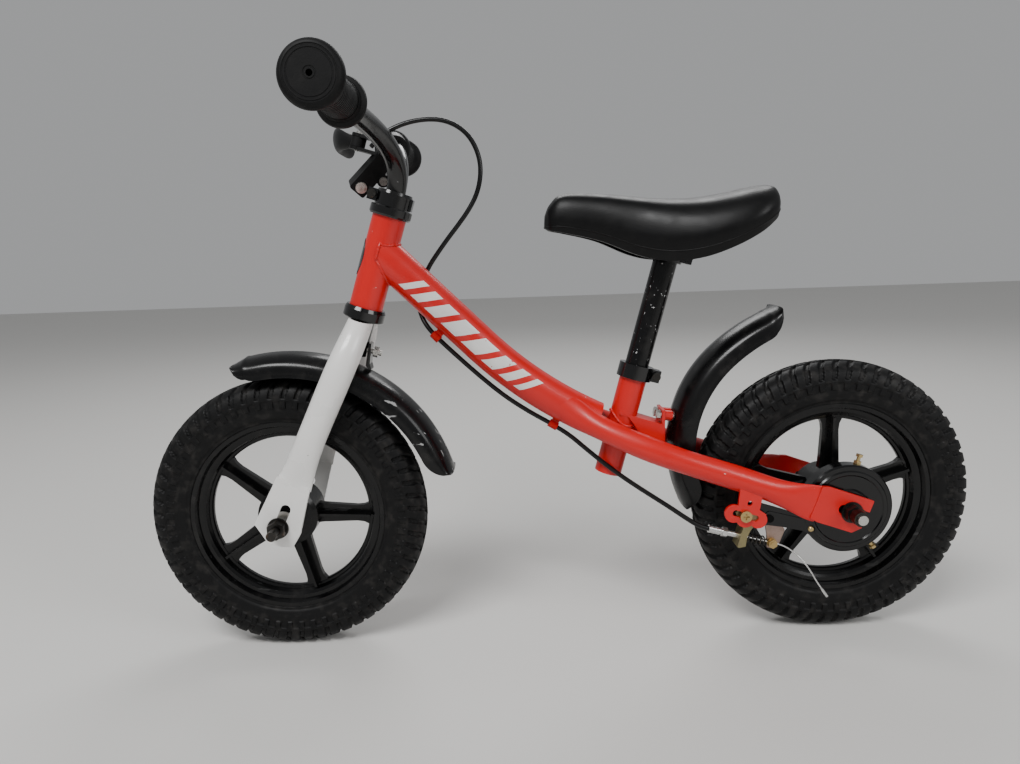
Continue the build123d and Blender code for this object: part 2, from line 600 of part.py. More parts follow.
def make_front_guard_bracket(front_guard):
    """A bent steel strap from the crown bolt down to the front mudguard."""
    top = steer_point(344, -17)
    crown = on_guard(FRONT_GUARD, 63.0)
    strap = side_plate([
        (top.X - 1, top.Z + 9), (top.X + 1.5, top.Z + 8), (top.X - 1.5, crown[2] + 3),
        (crown[0] + 9, crown[2] - 2.8), (crown[0] + 8, crown[2] - 5), (top.X - 6, crown[2] + 1.2)], -8, 8)
    shell = across(FRONT_GUARD["x"], FRONT_GUARD["z"], -60, 60, FRONT_GUARD["radius"])
    hole = rod(steer_point(344, -40), steer_point(344, 0), 3.05)
    add("front_mudguard_bracket", largest(strap - shell - front_guard - hole))
    bolt = rod(steer_point(344, 15), steer_point(344, -28), 3.0)
    head = hexagon(steer_point(344, 13.5), AHEAD, 4.4, 10)
    nut = hexagon(steer_point(344, -19.5), AHEAD * -1, 5, 10)
    nut = nut - rod(steer_point(344, 0), steer_point(344, -30), 3.0)
    washer = pipe(steer_point(344, 12.7), steer_point(344, 13.5), 7, 3.0)
    add("front_mudguard_bolt", bolt + head, nut, washer)


def lever_axes():
    """Directions at the lever clamp: along the bar, forward and down, and square to both."""
    along = Vector(-0.24, 0.90, 0.36).normalized()
    forward = Vector(-0.70, 0, -0.71)
    forward = (forward - along * forward.dot(along)).normalized()
    return along, forward, along.cross(forward)


def lever_point(ahead, up, side=0.0):
    """A point of the lever bracket, from the centre of its clamp on the bar."""
    along, forward, square = lever_axes()
    return Vector(*LEVER_CLAMP) + forward * ahead + square * up + along * side


def lever_bracket(bar_solid):
    """The clamp round the bar, its lower body and the two ears that hold the lever."""
    _, forward, square = lever_axes()
    pivot = Vector(*LEVER_PIVOT)
    band = rod(lever_point(0, 0, -8), lever_point(0, 0, 8), 14.5)
    body_plane = Plane(origin=lever_point(37, 0), x_dir=forward, z_dir=square)
    body = body_plane * fillet(Box(50, 21, 19).edges().filter_by(Axis.Y), 2.5)
    ahead, up, head = LEVER_SCREWS["clamp"]
    lug = rod(lever_point(ahead, up, -10.5), lever_point(ahead, up, 6), head + 2.6)
    bracket = band + body + lug
    for low, high in ((-8.6, -5.2), (5.2, 8.6)):
        ear = rod(pivot + STEER * low, pivot + STEER * high, 8.5)
        centre = (pivot + Vector(-172, 50, 537)) / 2
        centre = centre - STEER * (centre - pivot).dot(STEER) + STEER * ((low + high) / 2)
        bridge = Plane(origin=centre, x_dir=(-0.95, 0.25, 0.0), z_dir=STEER) * Box(36, 15, high - low)
        bracket = bracket + ear + bridge
    socket = Vector(*HOUSING_FROM_LEVER[0])
    outward = (Vector(*HOUSING_FROM_LEVER[1]) - socket).normalized()
    bracket = bracket + rod(socket - outward * 14, socket, 5.0)
    bracket = bracket - bar_solid - rod(pivot - STEER * 12, pivot + STEER * 12, PIVOT_RADIUS + RUNNING_GAP)
    bracket = bracket - rod(pivot - STEER * 5.2, pivot + STEER * 5.2, 9.6)
    for ahead, up, head in LEVER_SCREWS.values():
        bracket = bracket - rod(lever_point(ahead, up, -12), lever_point(ahead, up, 12), 2.0)
    return largest(bracket)


def lever_screws():
    """The screws on the left face of the bracket and the screw that the lever turns on."""
    along, forward, _ = lever_axes()
    screws = []
    for ahead, up, head in LEVER_SCREWS.values():
        shank = rod(lever_point(ahead, up, -10.5), lever_point(ahead, up, 5), 2.0)
        cap = rod(lever_point(ahead, up, -10.5), lever_point(ahead, up, -13), head)
        cross = Plane(origin=lever_point(ahead, up, -13), x_dir=forward, z_dir=along)
        screws.append(shank + cap - cross * (Box(head, 1.2, 2.4) + Box(1.2, head, 2.4)))
    pivot = Vector(*LEVER_PIVOT)
    pin = rod(pivot - STEER * 9.5, pivot + STEER * 8.6, PIVOT_RADIUS)
    screws.append(pin + rod(pivot + STEER * 8.6, pivot + STEER * 11, 4.6))
    return screws


def brake_lever():
    """The lever: a flat root on its screw, then a deep oval blade ahead of the grip."""
    pivot = Vector(*LEVER_PIVOT)
    root = rod(pivot - STEER * 4.9, pivot + STEER * 4.9, 8.0)
    stations = [(-206, 58, 541.3, 4.8, 4.6), (-215, 68, 543.5, 7.5, 5.0), (-226.5, 82, 547, 10.5, 5.6),
                (-234, 98, 550, 13.0, 6.2), (-237.5, 118, 551, 13.8, 6.4), (-238, 145, 551, 13.8, 6.4),
                (-237.5, 168, 551, 13.2, 6.2), (-237, 178, 551, 11.0, 5.4), (-236.8, 184, 551, 7.0, 3.4)]
    points = [Vector(*s[:3]) for s in stations]
    faces = []
    for i, station in enumerate(stations):
        along = (points[min(i + 1, len(points) - 1)] - points[max(i - 1, 0)]).normalized()
        faces.append(Plane(origin=points[i], x_dir=(0, 0, 1), z_dir=along) * Ellipse(station[3], station[4]))
    above = rod(pivot + STEER * 4.9, pivot + STEER * 22, 9.7)
    below = rod(pivot - STEER * 4.9, pivot - STEER * 22, 9.7)
    body = root + loft(faces) - above - below
    return largest(body - rod(pivot - STEER * 12, pivot + STEER * 12, PIVOT_RADIUS + RUNNING_GAP))


def make_handlebar():
    bar = handlebar()
    bar_solid = bar + rod(steer_point(452), steer_point(BAR_BEND_START), BAR_RADIUS - 1)
    add("handlebar", bar)
    left = grip()
    add("grip_left", left)
    add("grip_right", mirrored(left))
    add("lever_bracket", lever_bracket(bar_solid))
    add("lever_screws", *lever_screws())
    add("brake_lever", brake_lever())


# ---------------------------------------------------------------- cable
def middle(a, b):
    return tuple((p + q) / 2 for p, q in zip(a, b))


def housing_on_frame():
    return [middle(HOUSING_LOOP[-1], HOUSING_ON_FRAME[0]), *HOUSING_ON_FRAME, ADJUSTER_START]


def make_cable():
    from_lever, loop = HOUSING_FROM_LEVER, HOUSING_LOOP
    first_joint = middle(from_lever[-1], loop[0])
    second_joint = middle(loop[-1], HOUSING_ON_FRAME[0])
    add("cable_housing_bar", cord_tube("cable_housing_bar", [*from_lever, first_joint], HOUSING_RADIUS))
    add("cable_housing_loop",
        cord_tube("cable_housing_loop", [first_joint, *loop, second_joint], HOUSING_RADIUS))
    tail = cord_tube("brake_wire_tail", WIRE_TAIL, WIRE_RADIUS)
    add("brake_wire_tail", tail)
    end = Vector(*WIRE_TAIL[-1])
    out = (end - Vector(*WIRE_TAIL[-2])).normalized()
    add("brake_wire_cap", rod(end, end + out * 10, 1.4))


# ---------------------------------------------------------------- rear brake
def wire_point(distance, up=0.0, y=WIRE_Y):
    """A point along the straight pull of the brake wire, from the start of the adjuster."""
    drop = radians(WIRE_DROP)
    return (ADJUSTER_START[0] + distance * cos(drop) + up * sin(drop), y,
            ADJUSTER_START[2] - distance * sin(drop) + up * cos(drop))


def wire_rod(start, end, radius):
    return rod(wire_point(start), wire_point(end), radius)


def around_hub(angle, radius):
    return (REAR_X + radius * cos(radians(angle)), AXLE_Z + radius * sin(radians(angle)))


def radial_rod(angle, inner, outer, radius):
    """A round bar that points out from the rear axle, in the plane of the brake band."""
    start, end = around_hub(angle, inner), around_hub(angle, outer)
    return rod((start[0], BAND_Y, start[1]), (end[0], BAND_Y, end[1]), radius)


def brake_cover():
    """The still cover of the brake: a stepped dish on the axle and an arm to the frame."""
    face, lip = COVER_FACE, COVER_RADIUS
    dish = turned(REAR_X, AXLE_Z, [
        (0, face + 2.5), (lip - 4.2, face + 2.5), (lip - 2.5, face + 4), (lip - 2.5, -37.5), (lip, -37.5),
        (lip, face + 2), (lip - 1.6, face), (41, face), (39.6, face - 1.6), (36.6, face - 1.6),
        (35.4, face - 0.5), (22, face - 0.5), (20, face - 3), (12, face - 3), (12, -STAY_PLATE_IN), (0, -STAY_PLATE_IN)])
    outline = [(177, 149), (182, 156), (198, 159), (224, 150.5), (243, 143.5), (262, 150), (262, 118),
               (247, 126), (226, 131), (204, 134.5), (182, 138), (176, 142)]
    arm = side_plate(outline, face + 0.2, face + 2.8)
    arm = arm + side_slot(228, 139.8, -15, 42, 9, face - 0.8, face + 1)
    cover = dish + arm - across(REAR_X, AXLE_Z, -70, -30, AXLE_RADIUS)
    cover = cover - across(*REACTION_BOLT, -60, -40, 3.0) - across(*ARM_PIVOT, -60, -40, PIVOT_RADIUS)
    cover = cover - across(*around_hub(COVER_SCREW_ANGLE, 42.2), -60, -30, 1.9)
    cover = cover - across(*around_hub(COVER_SCREW_ANGLE, 42.2), -60, face, 3.7)
    # A window in the lip, for the ends of the band at the front.
    window = [around_hub(168, 40), around_hub(168, 60), around_hub(215, 60), around_hub(215, 40)]
    cover = cover - side_plate(window, face + 3.5, -30)
    for angle in BAND_SCREW_ANGLES:
        cover = cover - radial_rod(angle, 38, 60, 1.9)
    return largest(cover)


def brake_band():
    """A steel band round the drum, open at the front, where its ends turn out."""
    y_from, y_to = BAND_Y - 4, BAND_Y + 3.5
    outer = BAND_RADIUS + BAND_THICKNESS
    band = ring(REAR_X, AXLE_Z, y_from, y_to, outer, BAND_RADIUS)
    gap = side_plate([(REAR_X, AXLE_Z), around_hub(186, 60), around_hub(200, 60)], y_from - 2, y_to + 2)
    ends = []
    for angle in (185, 201):
        centre = around_hub(angle, outer + 3.6)
        outward = (cos(radians(angle)), 0, sin(radians(angle)))
        place = Plane(origin=(centre[0], BAND_Y - 0.25, centre[1]), x_dir=outward, z_dir=SIDE)
        ends.append(place * Box(8.2, 2.2, 7.5))
    return band - gap + ends[0] + ends[1]


def brake_screws():
    """The two set screws over the band, the cover screw and the pin of the crank."""
    screws = []
    for angle in BAND_SCREW_ANGLES:
        direction = Vector(cos(radians(angle)), 0, sin(radians(angle)))
        inner, outer = around_hub(angle, COVER_RADIUS), around_hub(angle, 54)
        nut = hexagon((inner[0], BAND_Y, inner[1]), direction, 3.2, 7) - radial_rod(angle, 40, 60, 1.9)
        head = hexagon((outer[0], BAND_Y, outer[1]), direction, 2.8, 6.4)
        screws += [radial_rod(angle, 39, 54, 1.9) + head, nut]
    x, z = around_hub(COVER_SCREW_ANGLE, 42.2)
    dome = Pos(x, COVER_FACE + 0.9, z) * Sphere(3.5) - across(x, z, COVER_FACE, -30, 6)
    screws.append(dome + across(x, z, COVER_FACE - 0.2, COVER_FACE + 5, 1.9))
    x, z = ARM_PIVOT
    pin = across(x, z, COVER_FACE - 2.0, COVER_FACE - 0.8, 4.2)
    pin = pin + across(x, z, COVER_FACE - 1, -40.5, PIVOT_RADIUS)
    pin = pin + across(x, z, COVER_FACE + 2.8, ARM_FACE - FACE_GAP, 4.6) + across(x, z, -41.6, -40.2, 4.4)
    screws.append(pin)
    return screws


def cable_bracket():
    """A folded plate: a flat side bolted to the frame tab and a lip that takes the adjuster."""
    x, z = REACTION_BOLT
    pull = (Vector(*wire_point(1)) - Vector(*wire_point(0))).normalized()
    lip_plane = Plane(origin=wire_point(BRACKET_AT, 0, -45.4), x_dir=SIDE, z_dir=pull)
    lip = lip_plane * Box(17.8, 21, 2.4)
    top, low = wire_point(BRACKET_AT - 1.2, 10.5), wire_point(BRACKET_AT - 1.2, -10.5)
    outline = [(top[0], top[2]), (176.5, 149), (181, 154.5), (192, 154), (199, 147), (206, 137),
               (196.5, 134.5), (192, 129), (189, 122), (187.5, 112), (low[0] + 2, low[2] - 0.6), (low[0], low[2])]
    side = side_plate(outline, -54.4, COVER_FACE)
    bracket = lip + side - across(x, z, -60, -40, 3.0)
    return largest(bracket - wire_rod(BRACKET_AT - 5, BRACKET_AT + 5, 3.0))


def brake_arm():
    """The small crank that the wire pulls to tighten the band."""
    anchor = wire_point(ANCHOR_AT)
    outline = [(203, 138), (205, 147), (213, 149), (221, 144), (231, 125), (225, 109), (219, 105),
               (212.8, 106.5), (212.5, 120), (210.5, 131)]
    arm = side_plate(outline, ARM_FACE, ARM_FACE + 2.3)
    arm = arm - across(*ARM_PIVOT, -60, -40, PIVOT_RADIUS + RUNNING_GAP)
    return arm - across(anchor[0], anchor[2], -60, -40, 2.6)


def anchor_bolt():
    """The bolt on the crank that clamps the wire in its cross hole, with its nut and washer."""
    x, _, z = wire_point(ANCHOR_AT)
    stud = across(x, z, -52.5, ARM_FACE + 2.3, 2.6) + across(x, z, ARM_FACE + 2.3, ARM_FACE + 4.6, 4.6)
    collar = ring(x, z, -48.3, ARM_FACE, 5.0, 2.6)
    nut = hexagon((x, -48.3, z), (0, -1, 0), 3.4, 8.4) - across(x, z, -60, -40, 2.6)
    hole = wire_rod(ANCHOR_AT - 20, ANCHOR_AT + 20, WIRE_RADIUS)
    return [stud - hole, collar - hole, nut]


def barrel_adjuster():
    """The hollow adjusting screw with its knurled head, and the nut on its thread."""
    body = wire_rod(0, 12, 4.0) + wire_rod(12, BRACKET_AT + 2.5, 3.0) - wire_rod(-1, BRACKET_AT + 5, 1.3)
    for i in range(KNURL_COUNT):
        place = Plane(origin=wire_point(1.5), z_dir=Vector(*wire_point(1)) - Vector(*wire_point(0)))
        groove = place * Rot(0, 0, i * 360 / KNURL_COUNT) * Pos(4.1, 0, 4.5) * Box(0.8, 0.5, 9)
        body = body - groove
    start = Vector(*wire_point(14.5))
    nut = hexagon(start, Vector(*wire_point(15.5)) - start, 5, 9) - wire_rod(10, 30, 3.0)
    return [body, nut]


def make_brake():
    add("brake_cover", brake_cover())
    add("brake_band", brake_band())
    add("brake_screws", *brake_screws())
    add("cable_bracket", cable_bracket())
    add("barrel_adjuster", *barrel_adjuster())
    x, z = REACTION_BOLT
    bolt = across(x, z, -60.8, -44.5, 3.0) + across(x, z, -57.5, -61.2, 6.0)
    bolt = bolt - Plane(origin=(x, -61.2, z), z_dir=SIDE) * (Box(6.4, 1.4, 3) + Box(1.4, 6.4, 3))
    nut = hexagon((x, COVER_FACE + 2.8, z), SIDE, 4.5, 10) - across(x, z, -60, -40, 3.0)
    add("reaction_bolt", bolt, nut)
    add("brake_arm", brake_arm())
    add("cable_anchor_bolt", *anchor_bolt())
    add("brake_wire", wire_rod(1, WIRE_END, WIRE_RADIUS))
    coil = Helix(pitch=4.3, height=23.65, radius=4.4, center=wire_point(BRACKET_AT + 3.6),
                 direction=Vector(*wire_point(1)) - Vector(*wire_point(0)))
    section = Plane(origin=coil @ 0, z_dir=coil % 0) * Circle(0.75)
    add("brake_spring", sweep(section, path=coil, is_frenet=True))


# ---------------------------------------------------------------- seat
def saddle_section(station, inset=0.0, floor_shift=0.0):
    """One upright cross-section of the saddle: domed on top, drawn in to its lower rim."""
    x, crown, rim_height, half = station
    half, top, low = half - inset, crown - inset, rim_height + floor_shift
    depth = top - low
    knots = [(-half * 0.93, low), (-half, low + depth * 0.42), (-half * 0.7, top - depth * 0.13), (0, top)]
    dome = Spline(*knots, *[(-y, z) for y, z in reversed(knots[:-1])])
    plane = Plane(origin=(x, 0, 0), x_dir=(0, 1, 0), z_dir=(1, 0, 0))
    return plane * make_face([dome, Line(knots[0], (-knots[0][0], low))])


def saddle_body(stations, inset=0.0, floor_shift=0.0):
    return loft([saddle_section(station, inset, floor_shift) for station in stations])


def saddle_clamp():
    """The clamp under the saddle: a split collar on the post and a plate up to the base."""
    collar = rod(seat_point(232), seat_point(250), 16.5)
    ear_plane = Plane(origin=seat_point(241, 19), x_dir=seat_point(0, 1) - seat_point(0), z_dir=SEAT_UP)
    collar = collar + ear_plane * Box(13, 15, 14)
    plate = Pos(SADDLE_CLAMP_X, 0, SADDLE_CLAMP_Z) * Box(46, 46, 4)
    post = rod(seat_point(200), seat_point(SEAT_POST_TO + 20), SEAT_POST_RADIUS)
    above_plate = Pos(SADDLE_CLAMP_X, 0, SADDLE_CLAMP_Z + 52) * Box(120, 90, 100)
    neck = rod(seat_point(248), seat_point(268), 16.5) - above_plate
    body = collar + neck + plate - post
    body = body - ear_plane * Box(30, 2.4, 20)
    bolt_hole = rod(seat_point(241, 20.5, -12), seat_point(241, 20.5, 12), 2.5)
    return largest(body - bolt_hole - saddle_bolt_holes())


def saddle_bolt_holes():
    low, high = SADDLE_CLAMP_Z - 12, SADDLE_CLAMP_Z + 8
    holes = [rod((x, y, low), (x, y, high), 2.5) for x, y in saddle_screw_places()]
    return Compound(children=holes)


def saddle_screw_places():
    return [(SADDLE_CLAMP_X + dx, dy) for dx in (-17, 17) for dy in (-18, 18)]


def saddle_clamp_screws():
    """The cross bolt with its nut, and the four screws up into the base."""
    low = SADDLE_CLAMP_Z - 2
    screws = [rod((x, y, low), (x, y, low + 9), 2.5) + rod((x, y, low), (x, y, low - 2.6), 4.2)
              for x, y in saddle_screw_places()]
    return cross_bolt(seat_point(241, 20.5), 7.5, 2.5, 4.6, 8) + screws


def make_seat():
    add("seat_post", pipe(seat_point(SEAT_POST_FROM), seat_point(SEAT_POST_TO),
                          SEAT_POST_RADIUS, SEAT_POST_RADIUS - TUBE_WALL))
    inner = SADDLE_STATIONS[2:-1]
    cavity = saddle_body(inner, SADDLE_SKIN, -8)
    add("saddle_pad", largest(saddle_body(SADDLE_STATIONS) - cavity))
    filling = saddle_body(inner, SADDLE_SKIN + 0.05, -8)
    shell = (filling - saddle_body(inner, SADDLE_SKIN + 3, -8)) & saddle_body(inner, 0, 3)
    ribs = [(Pos(SADDLE_CLAMP_X, y, SADDLE_CLAMP_Z + 17) * Box(46, 10, 30)) & filling for y in (-18, 18)]
    add("saddle_base", largest(shell + ribs[0] + ribs[1] - saddle_bolt_holes()))
    add("saddle_clamp", saddle_clamp(), *saddle_clamp_screws())


make_wheels()
make_frame()
make_rear_axle()
make_steering()
make_handlebar()
make_cable()
make_brake()
make_seat()

os.makedirs("parts", exist_ok=True)
for name, shape in nodes.items():
    export_step(shape, f"parts/{name}.step")
print(len(nodes), "nodes")
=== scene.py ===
import json
import random
from math import cos, radians, sin, sqrt, tau

import bmesh
import bpy
from mathutils import Matrix, Vector


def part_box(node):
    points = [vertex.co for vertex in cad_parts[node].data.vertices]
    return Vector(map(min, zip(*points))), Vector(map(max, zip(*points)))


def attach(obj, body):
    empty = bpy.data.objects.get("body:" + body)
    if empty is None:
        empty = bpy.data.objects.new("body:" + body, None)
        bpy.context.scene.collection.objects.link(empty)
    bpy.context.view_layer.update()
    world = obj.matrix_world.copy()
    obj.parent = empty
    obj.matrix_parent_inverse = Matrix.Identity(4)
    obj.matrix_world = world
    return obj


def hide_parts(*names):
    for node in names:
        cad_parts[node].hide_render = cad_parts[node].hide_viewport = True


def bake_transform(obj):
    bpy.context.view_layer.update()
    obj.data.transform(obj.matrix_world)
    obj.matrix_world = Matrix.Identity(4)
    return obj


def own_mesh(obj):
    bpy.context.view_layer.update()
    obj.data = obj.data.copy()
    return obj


# The looks of a 12-inch balance bike, built round its CAD frame. Lengths are given in mm and
# turned into metres by MM. Front is -X, the left side -Y, and +Z is up.
MM = 0.001
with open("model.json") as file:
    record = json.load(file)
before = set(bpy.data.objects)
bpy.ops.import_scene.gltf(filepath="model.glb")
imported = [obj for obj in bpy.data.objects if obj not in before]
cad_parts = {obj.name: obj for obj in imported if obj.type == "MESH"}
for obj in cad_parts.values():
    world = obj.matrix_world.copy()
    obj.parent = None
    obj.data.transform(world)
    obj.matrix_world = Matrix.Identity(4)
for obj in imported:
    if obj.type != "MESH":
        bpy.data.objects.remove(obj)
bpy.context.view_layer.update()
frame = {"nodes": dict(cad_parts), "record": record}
nodes = frame["nodes"]
random.seed(12)

SIDE = Vector((0, 1, 0))
STEER_LEAN = radians(18.2)
STEER = Vector((sin(STEER_LEAN), 0, cos(STEER_LEAN)))
AHEAD = Vector((-cos(STEER_LEAN), 0, sin(STEER_LEAN)))
STEER_FOOT = Vector((-318, 0, 0)) * MM
SEAT_LEAN = radians(15.4)
SEAT_UP = Vector((sin(SEAT_LEAN), 0, cos(SEAT_LEAN)))


def centre_of(node):
    low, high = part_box(node)
    return (low + high) / 2


FRONT_HUB = centre_of("front_tyre")
REAR_HUB = centre_of("rear_tyre")


# ---------------------------------------------------------------- materials
def new_material(name, color, roughness, metallic=0.0, coat=0.0, shine=0.5):
    """A plain material, returned with its nodes, links and shader so that detail can be added."""
    material = bpy.data.materials.new(name)
    material.use_nodes = True
    tree = material.node_tree
    shader = tree.nodes["Principled BSDF"]
    shader.inputs["Base Color"].default_value = (*color, 1)
    shader.inputs["Roughness"].default_value = roughness
    shader.inputs["Metallic"].default_value = metallic
    shader.inputs["Specular IOR Level"].default_value = shine
    shader.inputs["Coat Weight"].default_value = coat
    shader.inputs["Coat Roughness"].default_value = 0.12
    return material, tree, shader


def noise(tree, scale, detail=4.0, stretch=(1, 1, 1), rough=0.55):
    """A noise in the object's own metres, stretched along an axis if asked."""
    place = tree.nodes.new("ShaderNodeTexCoord")
    mapping = tree.nodes.new("ShaderNodeMapping")
    mapping.inputs["Scale"].default_value = stretch
    texture = tree.nodes.new("ShaderNodeTexNoise")
    texture.inputs["Scale"].default_value = scale
    texture.inputs["Detail"].default_value = detail
    texture.inputs["Roughness"].default_value = rough
    tree.links.new(place.outputs["Object"], mapping.inputs["Vector"])
    tree.links.new(mapping.outputs["Vector"], texture.inputs["Vector"])
    return texture.outputs["Fac"]


def ramp(tree, value, low, high, from_value=0.0, to_value=1.0):
    """Maps a value between two thresholds to another range, clamped."""
    node = tree.nodes.new("ShaderNodeMapRange")
    node.inputs["From Min"].default_value = low
    node.inputs["From Max"].default_value = high
    node.inputs["To Min"].default_value = from_value
    node.inputs["To Max"].default_value = to_value
    tree.links.new(value, node.inputs["Value"])
    return node.outputs["Result"]


def math_node(tree, operation, first, second):
    node = tree.nodes.new("ShaderNodeMath")
    node.operation = operation
    for socket, value in zip(node.inputs, (first, second)):
        if isinstance(value, (int, float)):
            socket.default_value = value
        else:
            tree.links.new(value, socket)
    return node.outputs[0]


def tint(tree, shader, factor, color):
    """Mixes another colour into the base colour by a factor."""
    mix = tree.nodes.new("ShaderNodeMix")
    mix.data_type = "RGBA"
    socket = shader.inputs["Base Color"]
    if socket.is_linked:
        tree.links.new(socket.links[0].from_socket, mix.inputs["A"])
    else:
        mix.inputs["A"].default_value = socket.default_value
    mix.inputs["B"].default_value = (*color, 1)
    tree.links.new(factor, mix.inputs["Factor"])
    tree.links.new(mix.outputs["Result"], socket)


def bump(tree, shader, height, strength, distance):
    node = tree.nodes.new("ShaderNodeBump")
    node.inputs["Strength"].default_value = strength
    node.inputs["Distance"].default_value = distance
    tree.links.new(height, node.inputs["Height"])
    if shader.inputs["Normal"].is_linked:
        tree.links.new(shader.inputs["Normal"].links[0].from_socket, node.inputs["Normal"])
    tree.links.new(node.outputs["Normal"], shader.inputs["Normal"])


def pores(tree, size):
    """Small pits and cells, as a height."""
    place = tree.nodes.new("ShaderNodeTexCoord")
    cells = tree.nodes.new("ShaderNodeTexVoronoi")
    cells.inputs["Scale"].default_value = 1 / size
    tree.links.new(place.outputs["Object"], cells.inputs["Vector"])
    return cells.outputs["Distance"]


def within_x(tree, low, high):
    """1 between two positions along X, in metres, and 0 elsewhere."""
    place = tree.nodes.new("ShaderNodeTexCoord")
    split = tree.nodes.new("ShaderNodeSeparateXYZ")
    tree.links.new(place.outputs["Object"], split.inputs["Vector"])
    above = ramp(tree, split.outputs["X"], low, low + 0.01)
    below = ramp(tree, split.outputs["X"], high, high + 0.01, 1.0, 0.0)
    return math_node(tree, "MULTIPLY", above, below)


def painted(name, color, roughness, chip_color=None, chips=0.7, dust=0.25, coat=0.4, shine=0.5):
    """Sprayed paint: orange peel, uneven gloss, dust and, if asked, chips down to the metal."""
    material, tree, shader = new_material(name, color, roughness, coat=coat, shine=shine)
    bump(tree, shader, noise(tree, 900, 2), 0.06, 0.0004)
    patches = noise(tree, 14, 5)
    gloss = ramp(tree, patches, 0.35, 0.7, roughness * 0.8, roughness * 1.35)
    tree.links.new(gloss, shader.inputs["Roughness"])
    shade = tuple(c * 0.55 for c in color)
    tint(tree, shader, ramp(tree, noise(tree, 6, 3), 0.55, 0.85, 0.0, 0.5), shade)
    tint(tree, shader, ramp(tree, noise(tree, 40, 8), 0.6, 0.85, 0.0, dust), (0.5, 0.46, 0.42))
    if chip_color:
        spots = ramp(tree, noise(tree, 210, 3, rough=0.4), chips, chips + 0.015)
        tint(tree, shader, spots, chip_color)
        bump(tree, shader, ramp(tree, spots, 0, 1, 1, 0), 0.4, 0.0003)
    return material


def metal(name, color, roughness, grain=(1, 1, 1), spots=(0.25, 0.2, 0.14)):
    """Plated or bare metal with fine grain and dull spots."""
    material, tree, shader = new_material(name, color, roughness, metallic=1.0)
    fine = noise(tree, 1300, 3, grain)
    tree.links.new(ramp(tree, fine, 0.3, 0.7, roughness * 0.7, roughness * 1.5), shader.inputs["Roughness"])
    bump(tree, shader, fine, 0.08, 0.0002)
    tint(tree, shader, ramp(tree, noise(tree, 160, 5), 0.56, 0.75, 0.0, 0.6), spots)
    return material


def scratched(name, color, roughness, low, high, scratch_color=(0.3, 0.3, 0.3), rarity=0.66, size=240):
    """Black plastic or paint with long fine scratches over one stretch along X."""
    material, tree, shader = new_material(name, color, roughness, coat=0.1, shine=0.25)
    bump(tree, shader, noise(tree, 700, 2), 0.08, 0.0003)
    tree.links.new(ramp(tree, noise(tree, 25, 5), 0.3, 0.7, roughness * 0.75, roughness * 1.4),
                   shader.inputs["Roughness"])
    tint(tree, shader, ramp(tree, noise(tree, 60, 8), 0.55, 0.85, 0.0, 0.1), (0.15, 0.14, 0.13))
    lines = ramp(tree, noise(tree, size, 4, (0.05, 1, 0.35)), rarity, rarity + 0.02)
    lines = math_node(tree, "MULTIPLY", lines, within_x(tree, low, high))
    tint(tree, shader, lines, scratch_color)
    return material


def rubber(name, color, roughness, pore=0.0012, dust=0.25):
    """Moulded rubber with pores and dust."""
    material, tree, shader = new_material(name, color, roughness, shine=0.2)
    bump(tree, shader, pores(tree, pore), 0.12, 0.0003)
    bump(tree, shader, noise(tree, 500, 4), 0.15, 0.0004)
    tint(tree, shader, ramp(tree, noise(tree, 90, 8), 0.5, 0.8, 0.0, dust), (0.09, 0.082, 0.075))
    tree.links.new(ramp(tree, noise(tree, 60, 5), 0.3, 0.7, roughness * 0.85, min(roughness * 1.2, 1.0)),
                   shader.inputs["Roughness"])
    return material


RED = painted("red_paint", (0.56, 0.003, 0.002), 0.36, (0.62, 0.5, 0.46), chips=0.765, dust=0.02, coat=0.12)
WHITE = painted("white_paint", (0.74, 0.73, 0.71), 0.3, (0.2, 0.18, 0.16), chips=0.76, dust=0.35)
BLACK = painted("black_paint", (0.002, 0.002, 0.0022), 0.18, (0.2, 0.2, 0.2), 0.8, dust=0.01, shine=0.35)
COVER = painted("cover_paint", (0.002, 0.002, 0.0022), 0.16, dust=0.01, coat=0.2, shine=0.3)
POST = scratched("post_black", (0.002, 0.002, 0.0022), 0.2, 0.04, 0.14, (0.45, 0.45, 0.45), 0.67, 700)
RIM = scratched("rim_plastic", (0.002, 0.002, 0.0022), 0.22, -1.0, 1.0, (0.02, 0.02, 0.02))
GUARD = scratched("guard_plastic", (0.002, 0.002, 0.0022), 0.26, -0.24, -0.1, rarity=0.64)
TYRE = rubber("tyre_rubber", (0.003, 0.003, 0.0032), 0.5, dust=0.25)
GRIP = rubber("grip_rubber", (0.002, 0.002, 0.0022), 0.55, 0.0008, 0.05)
SKIN = rubber("saddle_skin", (0.0018, 0.0018, 0.002), 0.38, 0.0009, 0.03)
PLASTIC = rubber("black_plastic", (0.0025, 0.0025, 0.0028), 0.42, 0.0015, 0.05)
SHEATH = painted("cable_sheath", (0.002, 0.002, 0.0022), 0.3, dust=0.01, coat=0.1, shine=0.3)
LEVER = painted("lever_paint", (0.0025, 0.0025, 0.0028), 0.45, (0.2, 0.2, 0.2), 0.8,
                dust=0.02, coat=0.0, shine=0.2)
STEEL = metal("zinc_steel", (0.55, 0.54, 0.51), 0.3)
BRASS = metal("brass_plate", (0.5, 0.36, 0.16), 0.32)
OLIVE = metal("olive_zinc", (0.3, 0.26, 0.14), 0.45)
PINK = metal("arm_zinc", (0.38, 0.28, 0.24), 0.45)
SILVER = metal("silver", (0.66, 0.66, 0.65), 0.28, (1, 1, 6))
DARK = metal("spring_steel", (0.05, 0.045, 0.04), 0.38)
OXIDE = metal("black_oxide", (0.045, 0.043, 0.04), 0.36, spots=(0.16, 0.09, 0.05))
NYLON = rubber("nylon", (0.6, 0.58, 0.54), 0.5, 0.002, 0.1)
GUIDE = rubber("red_guide", (0.42, 0.004, 0.003), 0.35, 0.002, 0.05)
